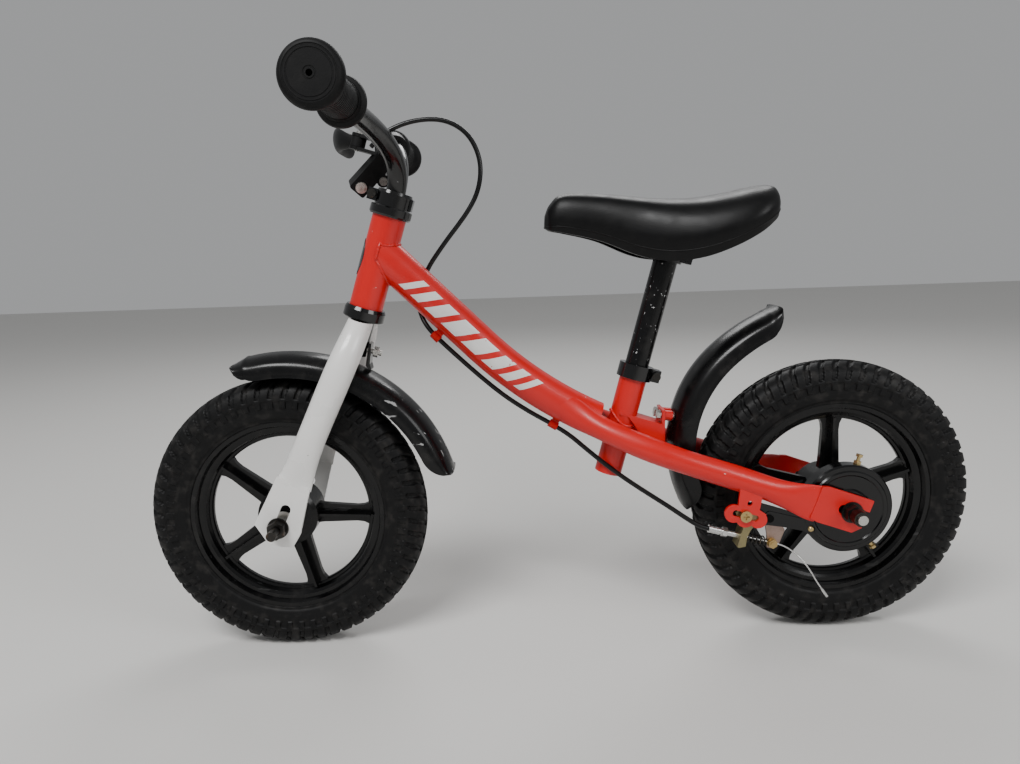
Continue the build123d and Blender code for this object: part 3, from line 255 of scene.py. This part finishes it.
MARK = painted("mark_white", (0.72, 0.71, 0.69), 0.4, (0.5, 0.02, 0.015), chips=0.71, dust=0.1)
BADGE = painted("badge_dark", (0.012, 0.012, 0.014), 0.3, dust=0.05)


def screw_metal():
    """Yellow zinc, with the pivot screw of the brake arm blackened."""
    material = metal("brake_screw_metal", (0.55, 0.42, 0.2), 0.32)
    tree = material.node_tree
    tint(tree, tree.nodes["Principled BSDF"], within_x(tree, 0.19, 0.225), (0.01, 0.01, 0.01))
    return material


SCREWS = screw_metal()

CAD_LOOKS = {
    "frame_red": RED, "fork_white": WHITE, "black_metal": BLACK, "rim_black": RIM, "tyre_rubber": TYRE,
    "grip_rubber": GRIP, "saddle_foam": SKIN, "base_plastic": PLASTIC, "guard_plastic": GUARD,
    "guide_red": GUIDE, "lever_black": LEVER, "housing_black": SHEATH, "wire_steel": SILVER,
    "spring_steel": DARK, "zinc_steel": STEEL, "zinc_yellow": BRASS, "adjuster_silver": SILVER,
    "bearing_nylon": NYLON, "drum_steel": STEEL,
}
OWN_LOOKS = {
    "seat_post": POST, "brake_cover": COVER, "cable_bracket": OLIVE, "brake_arm": PINK,
    "lever_bracket": PLASTIC, "saddle_clamp": BLACK, "front_axle": OXIDE, "front_axle_nuts": OXIDE,
    "rear_axle_nuts": OXIDE, "seat_clamp_bolt": OXIDE, "handlebar_clamp_bolt": OXIDE, "brake_screws": SCREWS,
    "cable_anchor_bolt": BRASS,
}


def dress(node, material):
    nodes[node].data.materials.clear()
    nodes[node].data.materials.append(material)


for part in frame["record"]["subparts"]:
    dress(part["node"], CAD_LOOKS[part["material_slot"]])
for node_name, look in OWN_LOOKS.items():
    dress(node_name, look)


# ---------------------------------------------------------------- shapes
def new_piece(name, points, faces, material, body=None, sharp=None):
    """A mesh object from points in metres."""
    mesh = bpy.data.meshes.new(name)
    mesh.from_pydata([tuple(p) for p in points], [], faces)
    mesh.validate()
    mesh.update()
    for polygon in mesh.polygons:
        polygon.use_smooth = True
    if sharp:
        mesh.set_sharp_from_angle(angle=radians(sharp))
    mesh.materials.append(material)
    piece = bpy.data.objects.new(name, mesh)
    bpy.context.scene.collection.objects.link(piece)
    if body:
        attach(piece, body)
    return piece


def skin_faces(rings, count, closed_path=False, closed_rings=True, caps=True):
    """Faces that join successive rings of the same number of points."""
    faces = []
    for i in range(rings if closed_path else rings - 1):
        near, far = i * count, (i + 1) % rings * count
        for j in range(count if closed_rings else count - 1):
            k = (j + 1) % count
            faces.append((near + j, near + k, far + k, far + j))
    if caps and not closed_path:
        faces.append(tuple(reversed(range(count))))
        faces.append(tuple(range((rings - 1) * count, rings * count)))
    return faces


def middle(a, b):
    return (a + b) / 2


def route(points, steps=8):
    """The smooth line that a cord takes between its control points, touching each run's middle."""
    control = [Vector(p) * MM for p in points]
    line = [control[0]]
    for i in range(1, len(control) - 1):
        start = control[0] if i == 1 else middle(control[i - 1], control[i])
        end = control[-1] if i == len(control) - 2 else middle(control[i], control[i + 1])
        for step in range(1, steps + 1):
            t = step / steps
            line.append(start * (1 - t) ** 2 + control[i] * 2 * t * (1 - t) + end * t * t)
    return line


def tube_points(line, radius, sides=16, closed=False):
    """Rings of points round a line, turned as little as they can from one to the next."""
    points = []
    normal = None
    count = len(line)
    for i, place in enumerate(line):
        before = line[(i - 1) % count] if closed or i > 0 else line[i]
        after = line[(i + 1) % count] if closed or i < count - 1 else line[i]
        along = (after - before).normalized()
        if normal is None:
            normal = along.orthogonal()
        normal = (normal - along * normal.dot(along)).normalized()
        other = along.cross(normal)
        size = radius(i) if callable(radius) else radius
        for j in range(sides):
            angle = tau * j / sides
            points.append(place + (normal * cos(angle) + other * sin(angle)) * size)
    return points


def tube(name, line, radius, material, body=None, sides=16, closed=False):
    points = tube_points(line, radius, sides, closed)
    faces = skin_faces(len(line), sides, closed_path=closed)
    return new_piece(name, points, faces, material, body, sharp=60)


def catmull(points, steps):
    """A smooth curve through points given as tuples of numbers."""
    curve = []
    last = len(points) - 1
    for i in range(last):
        p0 = Vector(points[max(i - 1, 0)])
        p1 = Vector(points[i])
        p2 = Vector(points[i + 1])
        p3 = Vector(points[min(i + 2, last)])
        for step in range(steps):
            t = step / steps
            curve.append(0.5 * ((2 * p1) + (p2 - p0) * t + (2 * p0 - 5 * p1 + 4 * p2 - p3) * t * t
                                + (3 * p1 - p0 - 3 * p2 + p3) * t ** 3))
    curve.append(Vector(points[last]))
    return curve


def smooth_step(value, low, high):
    t = max(0.0, min(1.0, (value - low) / (high - low)))
    return t * t * (3 - 2 * t)


def outline_normals(profile):
    """The outward direction at each point of a closed (radius, y) outline that starts on its left side."""
    normals = []
    count = len(profile)
    for i in range(count):
        before, after = profile[i - 1], profile[(i + 1) % count]
        run = Vector((after[0] - before[0], after[1] - before[1]))
        run.normalize()
        normals.append((run.y, -run.x))
    return normals


def turned(name, hub, profile, material, body, steps=128, cut=None, sharp=40):
    """A ring turned about an axis parallel to Y from a closed (radius, y) outline in mm.
    cut(angle, radius, y) gives how far a point is drawn in, square to the outline."""
    points = []
    normals = outline_normals(profile)
    for i in range(steps):
        angle = tau * i / steps
        for (radius, y), (out_radius, out_y) in zip(profile, normals):
            depth = cut(angle, radius, y) if cut else 0.0
            r = (radius - depth * out_radius) * MM
            across = (y - depth * out_y) * MM
            points.append(Vector((hub.x + r * cos(angle), hub.y + across, hub.z + r * sin(angle))))
    faces = skin_faces(steps, len(profile), closed_path=True)
    return new_piece(name, points, faces, material, body, sharp)


# ---------------------------------------------------------------- tyres
LUGS = 60
WALL = [(103.7, 18.4), (105.2, 19.9), (108, 21.5), (111.5, 22.7), (115, 23.4), (118, 23.75)]
TREAD = [(118, 23.75), (121, 23.95), (125, 24), (129, 23.8), (133, 23.2), (136.5, 22.1), (139.5, 20.6),
         (142, 18.4), (144, 15.5), (145.6, 12.5), (146.8, 9), (147.5, 5.5), (147.9, 2.4), (148, 0)]


def tyre_profile():
    """The section of the tyre, from its left bead over the tread to the right bead and back inside."""
    half = [(v.x, -v.y) for v in catmull(WALL, 2)[:-1] + catmull(TREAD, 4)]
    outer = half + [(r, -y) for r, y in reversed(half[:-1])]
    return outer + [(103.55, 15.1), (99.05, 13.8), (99.05, -13.8), (103.55, -15.1)]


def block(value, half_width, edge):
    """1 outside a band of a given half width about 0.5, 0 inside it."""
    return smooth_step(abs(value - 0.5), half_width, half_width + edge)


def tread_cut(angle, radius, y):
    """How deep the tyre is cut at a point: rings and small blocks on the wall, shoulder lugs and slanted
    centre lugs."""
    side = abs(y)
    if radius < 104.5 or side < 15.3 and radius < 120:
        return 0.0
    share = (angle / tau * LUGS + (0.5 if y > 0 else 0.0)) % 1.0
    half_turn = (share + 0.5) % 1.0
    if radius < 118.4:
        ridge = max(0.0, 1 - abs(radius - 107.8) / 0.9, 1 - abs(radius - 115.5) / 0.9)
        return 1.3 - 0.6 * ridge
    if radius < 128.6:
        notch = block(share, 0.20, 0.06)
        edge = 1 - smooth_step(radius, 118.4, 119.6)
        return max(1.3 * edge, 1.5 * notch * (1 - smooth_step(radius, 126, 127.6)))
    if side > 16.5:
        gap = block((half_turn + (radius - 129) / 60) % 1.0, 0.29, 0.07)
        return 2.6 * smooth_step(radius, 129.2, 131) * gap
    lean = (half_turn + 0.22 + (16.5 - side) / 26) % 1.0
    groove = 1 - smooth_step(abs(side - 4.5), 0.8, 1.7)
    return max(2.6 * block(lean, 0.31, 0.08), 2.0 * groove)


def make_tyre(name, hub, body):
    piece = turned(name, hub, tyre_profile(), TYRE, body, LUGS * 16, tread_cut, sharp=50)
    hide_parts(name.replace("_detail", ""))


make_tyre("front_tyre_detail", FRONT_HUB, "front_wheel")
make_tyre("rear_tyre_detail", REAR_HUB, "rear_wheel")


# ---------------------------------------------------------------- grips
def make_grip(name, side, material_node):
    """A grip with a mushroom end, three shallow rings on its end face and a ribbed barrel."""
    low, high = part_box(material_node)
    axis = Vector(((low.x + high.x) / 2, 0, (low.z + high.z) / 2))
    end = 242.4
    profile = [(2.4, end - 6.5), (2.4, end)]
    for radius in (3.6, 15.6, 18.2):
        sunk = end - 0.35
        profile += [(radius, end), (radius + 0.3, sunk), (radius + 0.9, sunk), (radius + 1.2, end)]
    profile += [(19.9, end), (21.8, end - 1.1), (23.6, end - 4), (24, end - 7), (23.2, end - 10),
                (20, end - 12.5), (16.8, end - 16)]
    y = end - 20
    while y > 152:
        profile += [(15.7, y), (15.7, y - 2.2), (15.0, y - 2.7), (15.0, y - 3.7), (15.7, y - 4.2)]
        y -= 4.3
    profile += [(16, 150), (17.5, 145.5), (20.6, 144), (21.4, 141.5), (20.6, 138.5), (16.5, 137.1),
                (10.02, 137.1), (10.02, end - 6.5)]
    outline = [(r, side * y) for r, y in profile]
    piece = turned(name, axis, outline, GRIP, "handlebar", 72, sharp=35)
    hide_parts(material_node)


make_grip("grip_left_detail", -1, "grip_left")
make_grip("grip_right_detail", 1, "grip_right")


# ---------------------------------------------------------------- saddle
SADDLE = [
    (-9.6, 444, 441.6, 3), (-9.2, 451, 441.2, 6.5), (-8.2, 456, 441, 9), (-3, 466, 438.5, 17),
    (10, 475, 436, 22), (45, 474.5, 427, 28), (82, 470.5, 411.5, 38), (112, 467.5, 405.5, 50),
    (142, 467.5, 408.5, 60),
    (170, 471, 418, 65), (194, 475.5, 430, 64), (210, 477.5, 441, 55), (216.5, 475, 447, 45),
    (219.2, 468, 451.5, 33), (219.8, 459, 453, 20)]
SKIN_DEPTH = 9.0


def saddle_row(station, depth, steps=10):
    """One section of the saddle from its left lower rim over the top to the right."""
    x, crown, rim, half = station
    half = max(half - depth, 1.0)
    crown = max(crown - depth, rim + 1.0)
    tall = crown - rim
    knots = [(-half * 0.93, rim), (-half * 0.99, rim + tall * 0.2), (-half, rim + tall * 0.42),
             (-half * 0.9, rim + tall * 0.68), (-half * 0.7, crown - tall * 0.13),
             (-half * 0.38, crown - tall * 0.035)]
    knots = knots + [(0, crown)] + [(-y, z) for y, z in reversed(knots)]
    return [Vector((x, v.x, v.y)) * MM for v in catmull(knots, steps)]


def make_saddle():
    stations = [tuple(v) for v in catmull(SADDLE, 6)]
    first, last = stations[0][0], stations[-1][0]
    outer, inner = [], []
    for station in stations:
        outer.append(saddle_row(station, 0))
        x = min(max(station[0], first + SKIN_DEPTH), last - SKIN_DEPTH)
        inner.append(saddle_row((x, *station[1:]), SKIN_DEPTH))
    rows, count = len(outer), len(outer[0])
    points = [p for row in outer + inner for p in row]
    faces = []
    shift = rows * count
    for i in range(rows - 1):
        for j in range(count - 1):
            a, b = i * count + j, (i + 1) * count + j
            faces.append((a, a + 1, b + 1, b))
            faces.append((shift + b, shift + b + 1, shift + a + 1, shift + a))
        for j, flip in ((0, False), (count - 1, True)):
            a, b = i * count + j, (i + 1) * count + j
            face = (a, b, shift + b, shift + a)
            faces.append(tuple(reversed(face)) if flip else face)
    for i, flip in ((0, True), (rows - 1, False)):
        for j in range(count - 1):
            a = i * count + j
            face = (a, a + 1, shift + a + 1, shift + a)
            faces.append(tuple(reversed(face)) if flip else face)
    saddle = new_piece("saddle_pad_detail", points, faces, SKIN, "seat", sharp=70)
    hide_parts("saddle_pad")
    level = 8
    line = [row[level] for row in outer[3:-2]] + [row[-1 - level] for row in reversed(outer[3:-2])]
    seam = tube("saddle_seam", line, 0.55 * MM, SKIN, "seat", 8, closed=True)


make_saddle()


# ---------------------------------------------------------------- mudguards
def arch(half, depth, wall, lip):
    """The closed section of a mudguard, as (distance below the crown, y): outside, then inside."""
    def side_curve(width, deep, lift):
        knots = [(deep, -width), (deep * 0.62, -width * 0.985), (deep * 0.34, -width * 0.86),
                 (deep * 0.1, -width * 0.5), (0, 0)]
        curve = [(v.x + lift, v.y) for v in catmull(knots, 4)]
        return curve + [(d, -y) for d, y in reversed(curve[:-1])]

    outer = side_curve(half, depth, 0)
    inner = side_curve(half - wall, depth - wall, wall)
    outer[0] = (outer[0][0], outer[0][1] - lip)
    outer[-1] = (outer[-1][0], outer[-1][1] + lip)
    return outer + list(reversed(inner))


def make_guard(name, hub, radius, start, end, bent_end, lift, straighten, body, steps=150):
    """A mudguard with rounded ends. One end bends by lift past a crease, and rises by straighten
    over a longer stretch. Angles are in degrees about the hub, lengths in mm."""
    points = []
    depth = 24.5
    for i in range(steps):
        share = i / (steps - 1)
        angle = start + (end - start) * share
        from_tip = abs(angle - bent_end)
        bend = max(0.0, 1 - from_tip / 4.5)
        crease = max(0.0, 1 - abs(from_tip - 4.5) / 1.2)
        edge = max(0.0, 1 - min(abs(angle - start), abs(angle - end)) / 9.0)
        taper = 0.12 + 0.88 * sqrt(1 - edge * edge)
        deep = depth * taper
        rise = straighten * max(0.0, 1 - from_tip / 30) ** 2
        for down, y in arch(28.3 * (0.82 + 0.18 * taper), deep, min(2.0, deep * 0.3), 0.5):
            r = (radius - 0.8 - down + rise + bend * lift + crease * 0.7) * MM
            a = radians(angle)
            points.append(Vector((hub[0] * MM + r * cos(a), y * MM, hub[1] * MM + r * sin(a))))
    count = len(points) // steps
    piece = new_piece(name + "_detail", points, skin_faces(steps, count), GUARD, body, sharp=45)
    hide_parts(name)


make_guard("front_mudguard", (-285, 146), 179, 14.5, 107.5, 107.5, -3.0, 0.0, "steering")
make_guard("rear_mudguard", (262, 208), 146, 102.5, 207, 102.5, 1.0, 5.0, "frame")


# ---------------------------------------------------------------- cables
FROM_LEVER = [
    (-187, 31, 532), (-176, 28, 542), (-162, 28, 550), (-146, 30, 555.5), (-129, 31, 558), (-112, 31, 557)]
LOOP = [
    (-97, 30, 551), (-85, 29, 541), (-77, 28, 527), (-73, 27, 511), (-74, 26, 494), (-79, 26, 478),
    (-88, 25, 463), (-99, 25, 449), (-110, 24.5, 436), (-121, 24.5, 422), (-132, 24.5, 407), (-140, 24, 391),
    (-144, 21.5, 375), (-143.5, 13, 361), (-137, 4, 347)]
ON_FRAME = [
    (-126, 0, 334), (-104, 0, 312), (-80, 0, 289), (-56, 0, 268), (-31, 0, 250.5), (-5, 0, 235),
    (13, -5, 223.5), (27, -10, 211.5), (42, -14.5, 199), (60, -19.5, 185), (79, -25, 172), (98, -31, 160),
    (114.5, -37, 149.8), (130, -43, 139.6), (142.3, -46, 132.12)]
ADJUSTER_START = (151, -46, 129.8)
WIRE_TAIL = [
    (222.13, -46, 110.88), (228.5, -46.7, 108.9), (235, -49, 105.6), (241, -51.7, 101), (246.5, -53.9, 95.3),
    (251.5, -55.7, 88.7), (256, -57.5, 81.5), (260.5, -59, 73), (265.5, -60, 65.5)]
WIRE_DROP = radians(14.9)
WIRE_RADIUS, SHEATH_RADIUS = 0.8, 2.5


def halfway(a, b):
    return tuple((p + q) / 2 for p, q in zip(a, b))


def wire_point(distance):
    return Vector((151 + distance * cos(WIRE_DROP), -46, 129.8 - distance * sin(WIRE_DROP))) * MM


def make_cables():
    first = halfway(FROM_LEVER[-1], LOOP[0])
    second = halfway(LOOP[-1], ON_FRAME[0])
    bar = tube("housing_bar", route([*FROM_LEVER, first]), SHEATH_RADIUS * MM, SHEATH)
    loop = tube("housing_loop", route([first, *LOOP, second]), SHEATH_RADIUS * MM, SHEATH)
    frame_line = route([second, *ON_FRAME, ADJUSTER_START])
    static = tube("housing_frame", frame_line, SHEATH_RADIUS * MM, SHEATH, "frame")
    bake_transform(bar)
    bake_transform(loop)
    for piece, stretch in ((bar, "bar"), (loop, "loop"), (static, "frame")):
        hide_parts(f"cable_housing_{stretch}")
    wire_line = [wire_point(1 + i * 1.815) for i in range(41)]
    wire = tube("wire_drawn", wire_line, WIRE_RADIUS * MM, SILVER, sides=10)
    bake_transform(wire)
    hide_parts("brake_wire")


def make_wire_tail():
    """The free end of the inner wire: a curve through the same control points as its CAD route."""
    data = bpy.data.curves.new("wire_tail", "CURVE")
    data.dimensions = "3D"
    data.bevel_depth = WIRE_RADIUS * MM
    data.bevel_resolution = 3
    data.resolution_u = 12
    data.use_fill_caps = True
    spline = data.splines.new("NURBS")
    spline.points.add(len(WIRE_TAIL) - 1)
    for place, point in zip(WIRE_TAIL, spline.points):
        point.co = (place[0] * MM, place[1] * MM, place[2] * MM, 1)
    spline.order_u = 3
    spline.use_endpoint_u = True
    data.materials.append(SILVER)
    tail = bpy.data.objects.new("wire_tail", data)
    bpy.context.scene.collection.objects.link(tail)
    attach(tail, "brake_arm")
    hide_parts("brake_wire_tail")


def make_spring():
    """The return spring: a copy of the CAD spring with a mesh of its own, fixed to the frame."""
    spring = bpy.data.objects.new("brake_spring_coil", nodes["brake_spring"].data.copy())
    bpy.context.scene.collection.objects.link(spring)
    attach(spring, "frame")
    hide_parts("brake_spring")
    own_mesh(spring)


make_cables()
make_wire_tail()
make_spring()


# ---------------------------------------------------------------- welds, marks and small trim
def weld(name, line, material, body, size=1.7):
    """A rippled bead along a closed line."""
    def ripple(i):
        return (size + 0.3 * sin(i * 2.1) + random.uniform(-0.12, 0.12)) * MM

    tube(name, line, ripple, material, body, 8, closed=True)


def tube_meets_tube(start, along, radius, axis_point, axis, other_radius, steps=96):
    """Where the surface of one round tube, followed along its axis, first meets another's."""
    along, axis = along.normalized(), axis.normalized()
    across = along.orthogonal().normalized()
    other = along.cross(across)
    line = []
    for i in range(steps):
        angle = tau * i / steps
        point = start + (across * cos(angle) + other * sin(angle)) * radius
        line.append(meeting(point, along, axis_point, axis, other_radius))
    return line


MAIN_TOP = Vector((-188, 0, 433))
BEND_STARTS_AT, BEND_RADIUS = 153.7, 430.0


def main_tube_place(distance):
    """A point of the main tube's axis and the way up across it, at a distance from its top end."""
    along = Vector((1, 0, -1)).normalized()
    up = Vector((1, 0, 1)).normalized()
    if distance <= BEND_STARTS_AT:
        return (MAIN_TOP + along * distance) * MM, up
    turn = (distance - BEND_STARTS_AT) / BEND_RADIUS
    centre = MAIN_TOP + along * BEND_STARTS_AT + up * BEND_RADIUS
    outward = up * -cos(turn) + along * sin(turn)
    return (centre + outward * BEND_RADIUS) * MM, outward * -1


# The drawn main tube ends 30 mm before the CAD's, which is 332 mm long, and leaves a gap at the seat
# tube. Past 258.6 mm it stays on the bend where the CAD's runs straight, 2.2 mm off at its end.
HEAD_AXIS_POINT = STEER_FOOT + STEER * 0.43
HEAD_TOUCH_RADIUS = 17.3
MAIN_TUBE_RADIUS, MAIN_TUBE_BORE = 19.05, 17.45
DRAWN_TUBE_LENGTH = 302.0
SEAT_TUBE_RADIUS = 14.3


def make_main_tube():
    """The main tube, ended where it meets the head tube all the way round."""
    count, steps = 96, 90
    along = Vector((1, 0, -1)).normalized()
    rows = [[] for _ in range(count)]
    for radius, order in ((MAIN_TUBE_RADIUS, 1), (MAIN_TUBE_BORE, -1)):
        for k in range(count):
            angle = tau * k / count
            place, up = main_tube_place(0)
            start = place + (SIDE * cos(angle) + up * sin(angle)) * radius * MM
            touch = meeting(start + along * 0.1, along * -1, HEAD_AXIS_POINT, STEER, HEAD_TOUCH_RADIUS * MM)
            first = (touch - start).dot(along) / MM
            wall = []
            for i in range(steps):
                distance = first + (DRAWN_TUBE_LENGTH - first) * i / (steps - 1)
                place, up = main_tube_place(distance)
                wall.append(place + (SIDE * cos(angle) + up * sin(angle)) * radius * MM)
            rows[k] += wall[::order]
    points = [p for row in rows for p in row]
    faces = skin_faces(count, 2 * steps, closed_path=True)
    piece = new_piece("main_tube_detail", points, faces, RED, "frame")
    turn_out(piece.data)
    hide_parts("main_tube")


def turn_out(mesh):
    """Turns every face of a closed mesh outwards."""
    work = bmesh.new()
    work.from_mesh(mesh)
    bmesh.ops.recalc_face_normals(work, faces=work.faces)
    work.to_mesh(mesh)
    work.free()
    mesh.set_sharp_from_angle(angle=radians(50))


def meeting(point, along, axis_point, axis, radius):
    """Where a line first meets a round tube, or comes nearest to it."""
    gap = point - axis_point
    a = along - axis * along.dot(axis)
    b = gap - axis * gap.dot(axis)
    half_b = a.dot(b)
    root = max(half_b * half_b - a.dot(a) * (b.dot(b) - radius ** 2), 0.0)
    return point + along * ((-half_b - sqrt(root)) / a.dot(a))


def make_welds():
    main_start = Vector((-100, 0, 345)) * MM
    up_main = Vector((-1, 0, 1))
    line = tube_meets_tube(main_start, up_main, MAIN_TUBE_RADIUS * MM, HEAD_AXIS_POINT, STEER,
                           HEAD_TOUCH_RADIUS * MM)
    weld("weld_head", line, RED, "frame", 1.5)
    seat_start = Vector((53.2, 0, 181)) * MM + SEAT_UP * 0.11
    run = Vector((108, 0, -65)).normalized()
    main_low = Vector((66, 0, 222)) * MM
    line = tube_meets_tube(seat_start, SEAT_UP * -1, SEAT_TUBE_RADIUS * MM, main_low, run,
                           MAIN_TUBE_RADIUS * MM)
    weld("weld_seat", line, RED, "frame", 1.6)


def make_marks():
    """A row of plain slanted bars on each side of the main tube."""
    bars = ((58, 8), (74, 11), (93, 15), (116, 20), (144, 20), (172, 15), (195, 11), (214, 8))
    for side, label in ((-1, "left"), (1, "right")):
        for number, (start, width) in enumerate(bars):
            outer, inner = [], []
            rows, columns = 11, 5
            for i in range(rows):
                lift = -0.55 + 1.1 * i / (rows - 1)
                for j in range(columns):
                    place, up = main_tube_place(start + width * j / (columns - 1) + lift * 15)
                    out = SIDE * side * cos(lift) + up * sin(lift)
                    outer.append(place + out * 19.22 * MM)
                    inner.append(place + out * 18.9 * MM)
            faces = slab_faces(rows, columns, side > 0)
            new_piece(f"mark_{label}_{number}", outer + inner, faces, MARK, "frame", sharp=30)


def slab_faces(rows, columns, flip):
    """Faces of a thin slab made of an outer and an inner grid of points."""
    faces = []
    shift = rows * columns
    for i in range(rows - 1):
        for j in range(columns - 1):
            a, b = i * columns + j, (i + 1) * columns + j
            faces.append((a, a + 1, b + 1, b))
            faces.append((shift + b, shift + b + 1, shift + a + 1, shift + a))
    rim = [j for j in range(columns)]
    rim += [i * columns + columns - 1 for i in range(1, rows)]
    rim += [(rows - 1) * columns + j for j in range(columns - 2, -1, -1)]
    rim += [i * columns for i in range(rows - 2, 0, -1)]
    for a, b in zip(rim, rim[1:] + rim[:1]):
        faces.append((b, a, shift + a, shift + b))
    return [tuple(reversed(f)) for f in faces] if flip else faces


def make_badge():
    """A dark oval badge without lettering on the front of the head tube."""
    points = []
    rows, columns = 13, 9
    for i in range(rows):
        v = -1 + 2 * i / (rows - 1)
        span = sqrt(max(1 - v * v, 0.02)) * 0.62
        for j in range(columns):
            angle = span * (-1 + 2 * j / (columns - 1))
            out = AHEAD * cos(angle) + SIDE * sin(angle)
            points.append(STEER_FOOT + STEER * (436 + v * 19) * MM + out * 18.1 * MM)
    inner = [p - AHEAD * 1.2 * MM for p in points]
    new_piece("head_badge", points + inner, slab_faces(rows, columns, True), BADGE, "frame", sharp=30)


make_main_tube()
make_welds()
make_marks()
make_badge()


# ---------------------------------------------------------------- floor, light and camera
def area_light(name, place, target, size, power):
    light = bpy.data.lights.new(name, "AREA")
    light.shape = "RECTANGLE"
    light.size, light.size_y = size
    light.energy = power
    lamp = bpy.data.objects.new(name, light)
    lamp.location = place
    lamp.rotation_euler = (Vector(target) - Vector(place)).to_track_quat("-Z", "Y").to_euler()
    bpy.context.scene.collection.objects.link(lamp)


def make_stage():
    half = 6.0
    corners = [Vector((x, y, 0)) for x, y in ((-half, -half), (half, -half), (half, half), (-half, half))]
    material, tree, shader = new_material("floor", (0.62, 0.61, 0.59), 0.75)
    bump(tree, shader, noise(tree, 60, 6), 0.1, 0.001)
    floor = new_piece("floor", corners, [(0, 1, 2, 3)], material)
    world = bpy.data.worlds.new("studio")
    world.use_nodes = True
    world.node_tree.nodes["Background"].inputs["Color"].default_value = (0.86, 0.87, 0.88, 1)
    world.node_tree.nodes["Background"].inputs["Strength"].default_value = 0.42
    bpy.context.scene.world = world
    area_light("key", (-0.9, -1.5, 2.3), (0, 0, 0.25), (1.3, 0.9), 66)
    area_light("fill", (1.6, -1.3, 1.2), (0, 0, 0.25), (1.0, 0.8), 16)
    area_light("rim_light", (0.3, 1.8, 1.9), (0, 0, 0.3), (1.6, 0.7), 20)


def make_camera():
    yaw, pitch, roll = 0.001, 0.175, 0.033
    forward = Vector((sin(yaw) * cos(pitch), cos(yaw) * cos(pitch), -sin(pitch)))
    level = Vector((cos(yaw), -sin(yaw), 0))
    down = forward.cross(level)
    right = level * cos(roll) + down * sin(roll)
    below = down * cos(roll) - level * sin(roll)
    place = Vector((-50.6, -778.5, 420.6)) * MM
    data = bpy.data.cameras.new("camera")
    data.lens = 26.24
    data.sensor_width = 36.0
    camera = bpy.data.objects.new("camera", data)
    turn = Matrix((right, -below, -forward)).transposed().to_4x4()
    camera.matrix_world = Matrix.Translation(place) @ turn
    bpy.context.scene.collection.objects.link(camera)
    bpy.context.scene.camera = camera


make_stage()
make_camera()
